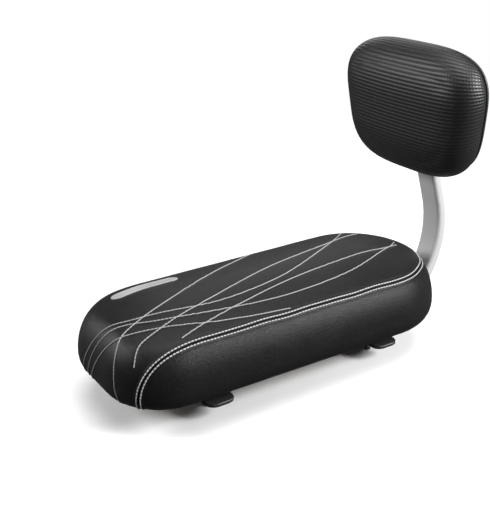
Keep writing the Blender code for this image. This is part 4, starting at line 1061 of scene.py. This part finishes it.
def pill(shape):
    """A pill-shaped plate on the seat: a flat face inside a raised rim, a rounded edge and a flat back."""
    a, b = np.array(BADGE_ENDS[0]), np.array(BADGE_ENDS[1])
    axis = unit((b - a)[None])[0]
    side = np.array([-axis[1], axis[0]])
    half, radius = np.linalg.norm(b - a) / 2, BADGE_WIDTH / 2
    turn = np.linspace(-math.pi / 2, math.pi / 2, PILL_END_POINTS)
    straight = np.linspace(-1, 1, PILL_SIDE_POINTS)[1:-1] * half
    tip = np.column_stack([-half - np.cos(turn) * radius, -np.sin(turn) * radius])
    head = np.column_stack([half + np.cos(turn) * radius, np.sin(turn) * radius])
    near = np.column_stack([straight, np.full(len(straight), -radius)])
    far = np.column_stack([straight[::-1], np.full(len(straight), radius)])
    split = PILL_END_POINTS // 2
    outline = np.concatenate([tip[split:], near, head, far, tip[:split]])
    middle = np.column_stack([np.clip(outline[:, 0], -half, half), np.zeros(len(outline))])
    share, lift = np.array(BADGE_SHARES), np.array(BADGE_RISES) / 1000.0
    local = middle[None] + (outline - middle)[None] * share[:, None, None]
    centre = (a + b) / 2
    flat = centre + local[..., :1] * axis + local[..., 1:] * side
    column, length = onto_shape(shape, flat.reshape(-1, 2))
    points = shape.place(column, length, np.repeat(lift, len(outline)))
    faces = grid_faces(len(share), len(outline))[:, ::-1]
    return points, [faces]


def panel_mesh(name, shape, matrix):
    """The back panel: a flat plate of the shape's outline, set in, its rims rounded by quarter circles."""
    turn = np.radians(np.linspace(0, 90, 6))
    rim, side = PANEL_EDGE * (1 - np.cos(turn)), PANEL_EDGE * (1 - np.sin(turn))
    share = [0.0, 0.5] + [1.0] * 2 * len(turn) + [0.5, 0.0]
    depth = [0.0, 0.0, *side, *rim, 0.0, 0.0]
    height = [0.0, 0.0, *rim, *(PANEL_THICKNESS - side), PANEL_THICKNESS, PANEL_THICKNESS]
    rows = []
    for part, back, level in zip(share, depth, height):
        ring = shape.points - shape.normals * (PANEL_INSET + back)
        plan = shape.middle + (ring - shape.middle) * part
        rows.append(np.column_stack([plan, np.full(shape.count, level)]))
    faces = grid_faces(len(rows), shape.count)
    blocks = closed_middles(faces, shape.count, (len(rows) - 1) * shape.count)
    return add_mesh(name, moved(np.concatenate(rows), matrix), blocks)


def post_course():
    """The post's route in the YZ plane: along under the board, up behind the tail, and up the pad's back."""
    lean = math.radians(PAD_LEAN_DEG)
    up = np.array([-math.sin(lean), math.cos(lean)])
    rear = np.array([math.cos(lean), math.sin(lean)])
    on_pad = np.array(pad_frame().translation.yz) + rear * (FIT_GAP + POST_DEPTH / 2)
    rise = math.radians(POST_RISE_DEG)
    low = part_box("backrest_post")[0]
    run = low.z + POST_DEPTH / 2
    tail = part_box("seat_cover")[1].y
    bend = tail - POST_BEND_INSET + POST_RADII[0] * math.tan(rise / 2)
    knee = bend + (POST_KNEE_HEIGHT - run) / math.tan(rise)
    corners = [
        (low.y, run),
        (bend, run),
        (knee, POST_KNEE_HEIGHT),
        on_pad - up * (PAD_HEIGHT / 2 + POST_NECK_DROP),
        on_pad + up * POST_TOP_REACH,
    ]
    path = filleted(corners, POST_RADII, POST_STEP)
    return np.column_stack([np.zeros(len(path)), path])


def closed_form(shape, lift):
    """A closed form a little inside the shape: its outside down to the end of the hem, and a flat bottom."""
    down = np.linspace(0, shape.total, FORM_SIDE_ROWS)[:, None] * np.ones(shape.count)
    length = np.concatenate([crown_rows(shape, FORM_CROWN_ROWS), down])
    return closed_body("filling", shape, shape.place(all_columns(shape, length), length, lift))


def coordinates(mesh):
    """A mesh's points as an array."""
    out = np.empty(len(mesh.vertices) * 3)
    mesh.vertices.foreach_get("co", out)
    return out.reshape(-1, 3)


def settled(made):
    """The object with its modifiers carried out."""
    graph = bpy.context.evaluated_depsgraph_get()
    mesh = bpy.data.meshes.new_from_object(made.evaluated_get(graph))
    made.modifiers.clear()
    old, made.data = made.data, mesh
    bpy.data.meshes.remove(old)
    return made


def blown_up(made, held, cap):
    """Fills a closed cloth form with air, with the held points fixed and no point moved past the cap."""
    start = coordinates(made.data)
    made.vertex_groups.new(name="held").add(np.flatnonzero(held(start)).tolist(), 1.0, "REPLACE")
    cloth = made.modifiers.new("cloth", "CLOTH")
    settings = cloth.settings
    settings.quality = CLOTH_QUALITY
    settings.mass = CLOTH_MASS
    settings.use_pressure = True
    settings.uniform_pressure_force = CLOTH_PRESSURE
    settings.vertex_group_mass = "held"
    settings.effector_weights.gravity = 0.0
    cloth.point_cache.frame_start, cloth.point_cache.frame_end = 1, CLOTH_FRAMES
    scene = bpy.context.scene
    for frame_number in range(1, CLOTH_FRAMES + 1):
        scene.frame_set(frame_number)
    graph = bpy.context.evaluated_depsgraph_get()
    moved_to = coordinates(made.evaluated_get(graph).data)
    scene.frame_set(1)
    made.modifiers.clear()
    shift = moved_to - start
    far = np.linalg.norm(shift, axis=1, keepdims=True)
    limited = start + shift * np.minimum(1.0, cap / np.maximum(far, 1e-9))
    made.data.vertices.foreach_set("co", limited.ravel())
    smooth = made.modifiers.new("smooth", "SUBSURF")
    smooth.levels = smooth.render_levels = 1
    return settled(made)


def fill(shape, held, cap):
    """Lets air fill a form that starts inside the cover, and maps how far each place stands out past it."""
    form = closed_form(shape, -FILL_SLACK)
    remesh = form.modifiers.new("remesh", "REMESH")
    remesh.mode, remesh.voxel_size = "VOXEL", CLOTH_VOXEL
    settled(form)
    before = standing_out(shape, form)
    blown_up(form, held, cap)
    out = np.maximum(standing_out(shape, form) - before - FILL_SLACK, 0.0)
    bpy.data.objects.remove(form)
    kernel = np.array([1.0, 4.0, 6.0, 4.0, 1.0]) / 16
    out = sum(k * np.roll(out, i - 2, axis=1) for i, k in enumerate(kernel))
    padded = np.pad(out, ((2, 2), (0, 0)), mode="edge")
    shape.swell = sum(k * padded[i : i + len(out)] for i, k in enumerate(kernel))


def standing_out(shape, form):
    """How far a form stands out from the shape, over all stations and every second column."""
    rows, columns = SWELL_STATIONS, shape.count // 2
    station = np.linspace(0, 4, rows)[:, None] * np.ones(columns)
    column = np.broadcast_to(np.arange(columns) * 2.0, station.shape)
    inner = (station - 1) * shape.around(column, shape.reach)
    length = np.where(station < 1, inner, np.interp(station, shape.stations, shape.lengths))
    base, normal = shape.base_points(column, length), shape.normal(column, length)
    probe = add_mesh("probe", base, [grid_faces(rows, columns)])
    wrap = probe.modifiers.new("wrap", "SHRINKWRAP")
    wrap.target, wrap.wrap_method = form, "NEAREST_SURFACEPOINT"
    shift = coordinates(settled(probe).data).reshape(base.shape) - base
    bpy.data.objects.remove(probe)
    return (shift * normal).sum(axis=2)


class BIKESEAT_OT_seat_cover(bpy.types.Operator):
    """Seat cover of black leatherette over its foam, turned under the board"""

    bl_idname = "bikeseat.seat_cover"
    bl_label = "Seat cover"

    def execute(self, context):
        shape = PARTS["seat"] = seat_shape()
        seam = shape.place(*seam_course(shape))[::4]

        def held(points):
            return (points[:, 2] < SEAT_WIDEST) | (closest(points, seam) < SEAM_HOLD)

        fill(shape, held, SEAT_SWELL_CAP)

        def panel(column, length):
            return (length > seam_depth(shape, column)).astype(int)

        rows, step = SEAT_CROWN_ROWS, SEAT_ROW_STEP
        made = cover_mesh("seat_cover_fine", shape, rows, step, seat_relief, panel=panel)
        top = leather("leatherette_top", LEATHER_TOP_COLOUR, roughness=0.42)
        # The side panel is the same leatherette, glossier, with its colour darkened as painted shade on the
        # side band
        side = leather("leatherette_side", LEATHER_SIDE_SHADED_COLOUR, roughness=0.34, grain=0.5, specular=0.6)
        dress(made, [top, side], ["seat_cover"])
        PARTS["leather"] = top
        foam = core_mesh("seat_foam_core", shape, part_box("seat_board")[1].z + FIT_GAP)
        dress(foam, foam_finish("seat_foam_cells"), ["seat_foam"])
        return {"FINISHED"}


class BIKESEAT_OT_side_seam(bpy.types.Operator):
    """Side seam: the raised allowance on both sides of a groove, and two rows of white stitches"""

    bl_idname = "bikeseat.side_seam"
    bl_label = "Side seam"

    def execute(self, context):
        shape, values = PARTS["seat"], context.scene.bikeseat
        column, length = seam_course(shape)
        reach, rise = np.array(ALLOWANCE_REACH), np.array(ALLOWANCE_RISE)
        across = np.concatenate([-reach[:0:-1], reach])
        lift = np.concatenate([rise[:0:-1], rise])
        points, faces = ribbon(shape, column, length, across / 1000.0, lift / 1000.0)
        made = add_mesh("side_seam_allowance", points, faces)
        dress(made, PARTS["leather"])
        rows = []
        size = np.hypot(np.gradient(column) * shape.step, np.gradient(length))
        for side in (-values.row_offset, values.row_offset):
            row_column = column + side * -np.gradient(length) / size / shape.step
            row_length = length + side * np.gradient(column) * shape.step / size
            thread = (values.seam_pitch, values.seam_thread, SEAM_STITCH_LIFT, SEAM_STITCH_SHARE)
            rows.append(stitched(shape, row_column, row_length, *thread))
        made = add_mesh("side_seam_stitches", *joined(rows))
        dress(made, thread_finish("white_thread", values.thread_colour))
        return {"FINISHED"}


def stitched(shape, column, length, pitch, radius, lift, share):
    """One row of stitches on a course: beads at equal steps of the line, each a share of the step long."""
    line = np.column_stack([shape.place(column, length, lift), shape.normal(column, length)])
    reach = distances(line[:, :3])
    line = read_along(line, reach, np.arange(pitch / 2, reach[-1], pitch))
    tangents = unit(np.gradient(line[:, :3], axis=0))
    return beads(line[:, :3], tangents, unit(line[:, 3:]), pitch * share, radius)


class BIKESEAT_OT_ornament(bpy.types.Operator):
    """Ornamental stitching over the seat: six sweeping lines of pale thread"""

    bl_idname = "bikeseat.ornament"
    bl_label = "Ornamental stitching"

    def execute(self, context):
        shape, values = PARTS["seat"], context.scene.bikeseat
        rows = []
        for line in stitch_courses():
            column, length = onto_shape(shape, line)
            thread = (values.line_pitch, values.line_thread, LINE_STITCH_LIFT, LINE_STITCH_SHARE)
            rows.append(stitched(shape, column, length, *thread))
        made = add_mesh("ornamental_stitches", *joined(rows))
        dress(made, thread_finish("pale_thread", values.line_colour))
        return {"FINISHED"}


class BIKESEAT_OT_badge(bpy.types.Operator):
    """Bare pale badge with a raised rim, near the nose"""

    bl_idname = "bikeseat.badge"
    bl_label = "Bare badge"

    def execute(self, context):
        made = add_mesh("badge_pill", *pill(PARTS["seat"]))
        dress(made, plastic("badge_plastic", BADGE_COLOUR, roughness=0.35, grain=0.4))
        return {"FINISHED"}


class BIKESEAT_OT_backrest(bpy.types.Operator):
    """Backrest pad: a cover of woven vinyl over foam, and the plastic panel on its back"""

    bl_idname = "bikeseat.backrest"
    bl_label = "Backrest pad"

    def execute(self, context):
        shape, place = pad_shape(), pad_frame()
        fill(shape, lambda points: points[:, 2] < PAD_WIDEST, PAD_SWELL_CAP)

        def relief(column, length, flat):
            return pleats(shape, column, length)

        rows, step = PAD_CROWN_ROWS, PAD_ROW_STEP
        made = cover_mesh("backrest_cover_fine", shape, rows, step, relief, place)
        vinyl = woven_vinyl("woven_vinyl_black", VINYL_COLOUR)
        dress(made, vinyl, ["backrest_cover"])
        floor = PAD_HEM_FACE + COVER_THICKNESS + PAD_BOARD_THICKNESS
        foam = core_mesh("backrest_foam_core", shape, floor, place)
        dress(foam, foam_finish("backrest_foam_cells"), ["backrest_foam"])
        panel = panel_mesh("back_panel_fine", shape, place)
        dress(panel, plastic("panel_plastic", PANEL_COLOUR), ["backrest_back_panel"])
        return {"FINISHED"}


class BIKESEAT_OT_post(bpy.types.Operator):
    """Bent post of flat steel tube in silver paint, open inside"""

    bl_idname = "bikeseat.post"
    bl_label = "Backrest post"

    def execute(self, context):
        path = post_course()
        outer = rounded_rectangle(POST_WIDTH, POST_DEPTH, POST_CORNER)
        wall = 2 * POST_WALL
        inner = rounded_rectangle(POST_WIDTH - wall, POST_DEPTH - wall, POST_CORNER - POST_WALL)
        ups = np.cross(unit(np.gradient(path, axis=0)), np.tile((1.0, 0.0, 0.0), (len(path), 1)))
        points = np.concatenate([swept(outer, path, ups), swept(inner, path, ups)[::-1]])
        faces = grid_faces(len(points), len(outer), close_rows=True)
        made = add_mesh("post_fine", points, [faces])
        PARTS["silver"] = painted("silver_paint", SILVER_COLOUR, roughness=0.45)
        dress(made, PARTS["silver"], ["backrest_post"])
        return {"FINISHED"}


class BIKESEAT_OT_fittings(bpy.types.Operator):
    """Finishes for the boards, plates, bolts, washers, nuts and plugs"""

    bl_idname = "bikeseat.fittings"
    bl_label = "Boards and fittings"

    def execute(self, context):
        lean = (math.radians(-90 - PAD_LEAN_DEG), 0.0, 0.0)
        wearing = (
            (("seat_board",), plywood("seat_plywood", SEAT_BOARD_THICKNESS)),
            (("backrest_board",), plywood("backrest_plywood", PAD_BOARD_THICKNESS, lean)),
            (("foot_plate",), PARTS["silver"]),
            (("clamp_plate",), painted("black_paint", BLACK_STEEL_COLOUR, roughness=0.42)),
            (("plug",), plastic("plug_plastic", PLUG_COLOUR)),
            (("bolt", "washer", "nut"), zinc("zinc_plate")),
        )
        for name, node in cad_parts.items():
            for words, finish in wearing:
                if any(word in name for word in words):
                    node.data.materials.clear()
                    node.data.materials.append(finish)
                    break
        return {"FINISHED"}


class BIKESEAT_OT_stage(bpy.types.Operator):
    """Plain pale floor, soft studio light and the camera"""

    bl_idname = "bikeseat.stage"
    bl_label = "Floor, light and camera"

    def execute(self, context):
        scene, values = context.scene, context.scene.bikeseat
        scene.view_settings.view_transform = "Standard"
        make_floor(CAD_BOX[0].z)
        make_world(values.sky)
        for name, place, size in LAMPS:
            softbox(name, place, size, getattr(values, name))
        data = bpy.data.cameras.new("photo_camera")
        data.lens, data.sensor_width = CAMERA_LENS, SENSOR_WIDTH
        camera = bpy.data.objects.new("photo_camera", data)
        camera.location = CAMERA_PLACE
        camera.rotation_euler = (math.radians(90 - CAMERA_PITCH_DEG), 0.0, math.radians(CAMERA_AZIMUTH_DEG))
        scene.collection.objects.link(camera)
        scene.camera = camera
        return {"FINISHED"}


def make_floor(height):
    """A wide pale floor that keeps the shadow near the seat and gives way to the white beyond."""
    count = FLOOR_POINTS
    turn = np.linspace(0, 2 * math.pi, count, endpoint=False)
    circle = np.column_stack([np.cos(turn), np.sin(turn), np.zeros(count)])
    points = np.concatenate([circle * radius for radius in FLOOR_RINGS]) + (0.0, 0.0, height)
    made = add_mesh("floor", points, [grid_faces(len(FLOOR_RINGS), count), [list(range(count))[::-1]]])
    tree = Tree("pale_floor", Roughness=0.9, Specular_IOR_Level=0.1)
    here = tree.place()
    grain = tree.noise(here, scale=90.0)
    pale = tree.blend(grain, *FLOOR_COLOURS)
    seen = tree.add("LightPath").outputs["Is Camera Ray"]
    tree.set(tree.shader, Base_Color=tree.blend(seen, FLOOR_BOUNCE_COLOUR, pale))
    away = tree.add("VectorMath", {"operation": "LENGTH"}, Vector=here).outputs["Value"]
    fade = tree.ramp(away, *FLOOR_FADE)
    below = tree.add("NewGeometry").outputs["Backfacing"]
    clear = tree.math("MULTIPLY", seen, tree.math("MAXIMUM", fade, below))
    through = tree.add("BsdfTransparent")
    mixed = tree.add("MixShader", Fac=clear)
    tree.links.new(tree.shader.outputs[0], mixed.inputs[1])
    tree.links.new(through.outputs[0], mixed.inputs[2])
    tree.links.new(mixed.outputs[0], tree.nodes["Material Output"].inputs["Surface"])
    made.data.materials.append(tree.material)


def make_world(strength):
    """White where the camera sees past the floor; elsewhere a soft grey sky of the given strength."""
    world = bpy.data.worlds.new("studio")
    world.use_nodes = True
    nodes, links = world.node_tree.nodes, world.node_tree.links
    path, back = nodes.new("ShaderNodeLightPath"), nodes["Background"]
    level = nodes.new("ShaderNodeMix")
    level.inputs[2].default_value, level.inputs[3].default_value = strength, 1.0
    links.new(path.outputs["Is Camera Ray"], level.inputs[0])
    links.new(level.outputs[0], back.inputs["Strength"])
    back.inputs["Color"].default_value = (1.0, 1.0, 1.0, 1.0)
    bpy.context.scene.world = world


def softbox(name, place, size, power):
    """A rectangular lamp aimed at the middle of the seat."""
    data = bpy.data.lights.new(name, "AREA")
    data.shape, data.size, data.size_y, data.energy = "RECTANGLE", size[0], size[1], power
    lamp = bpy.data.objects.new(name, data)
    lamp.location = place
    aim = Vector(LAMP_AIM) - Vector(place)
    lamp.rotation_euler = aim.to_track_quat("-Z", "Y").to_euler()
    lamp.visible_camera = False
    bpy.context.scene.collection.objects.link(lamp)


class BIKESEAT_PG_values(bpy.types.PropertyGroup):
    """The values of the sewing and the light"""

    row_offset: FloatProperty(
        name="Row offset", description="Seam to each stitch row", default=0.0017, unit="LENGTH"
    )
    seam_pitch: FloatProperty(
        name="Seam pitch", description="Step between seam stitches", default=0.0030, unit="LENGTH"
    )
    seam_thread: FloatProperty(
        name="Seam thread", description="Radius of the seam's thread", default=0.00055, unit="LENGTH"
    )
    line_pitch: FloatProperty(
        name="Line pitch", description="Step between ornamental stitches", default=0.0032, unit="LENGTH"
    )
    line_thread: FloatProperty(
        name="Line thread", description="Radius of the ornamental thread", default=0.00055, unit="LENGTH"
    )
    thread_colour: FloatVectorProperty(
        name="Seam thread colour", description="Colour of the seam's thread",
        default=(0.62, 0.62, 0.61), subtype="COLOR", size=3,
    )
    line_colour: FloatVectorProperty(
        name="Line thread colour", description="Colour of the ornamental thread",
        default=(0.36, 0.36, 0.36), subtype="COLOR", size=3,
    )
    overhead: FloatProperty(
        name="Overhead", description="Power of the overhead lamp", default=56.0, unit="POWER"
    )
    side: FloatProperty(
        name="Side", description="Power of the lamp on the left, beside the post", default=22.0, unit="POWER"
    )
    pad_side: FloatProperty(
        name="Pad side", description="Power of the small lamp close beside the pad", default=0.7, unit="POWER"
    )
    nose: FloatProperty(
        name="Nose", description="Power of the small lamp beyond the nose", default=3.0, unit="POWER"
    )
    front: FloatProperty(name="Front", description="Power of the lamp in front", default=13.0, unit="POWER")
    back: FloatProperty(name="Back", description="Power of the lamp behind", default=2.5, unit="POWER")
    sky: FloatProperty(name="Sky", description="Strength of the soft sky", default=0.04)


class BIKESEAT_PT_panel(bpy.types.Panel):
    """The pieces and the studio, one button each"""

    bl_idname = "BIKESEAT_PT_panel"
    bl_label = "Child bike seat"
    bl_space_type = "VIEW_3D"
    bl_region_type = "UI"
    bl_category = "Bike Seat"

    def draw(self, context):
        values = context.scene.bikeseat
        for name in BIKESEAT_PG_values.__annotations__:
            self.layout.prop(values, name)
        for operator in OPERATORS:
            self.layout.operator(operator.bl_idname)


OPERATORS = (
    BIKESEAT_OT_seat_cover,
    BIKESEAT_OT_side_seam,
    BIKESEAT_OT_ornament,
    BIKESEAT_OT_badge,
    BIKESEAT_OT_backrest,
    BIKESEAT_OT_post,
    BIKESEAT_OT_fittings,
    BIKESEAT_OT_stage,
)


def register():
    """Registers the values, the operators and the panel."""
    for kind in (BIKESEAT_PG_values, *OPERATORS, BIKESEAT_PT_panel):
        bpy.utils.register_class(kind)
    bpy.types.Scene.bikeseat = PointerProperty(type=BIKESEAT_PG_values)


def unregister():
    """Takes them all away again."""
    del bpy.types.Scene.bikeseat
    for kind in reversed((BIKESEAT_PG_values, *OPERATORS, BIKESEAT_PT_panel)):
        bpy.utils.unregister_class(kind)


def main():
    """Builds every piece in order."""
    register()
    for operator in OPERATORS:
        group, name = operator.bl_idname.split(".")
        result = getattr(getattr(bpy.ops, group), name)()
        if result != {"FINISHED"}:
            raise RuntimeError("step failed: " + operator.bl_label)


if __name__ == "__main__":
    main()
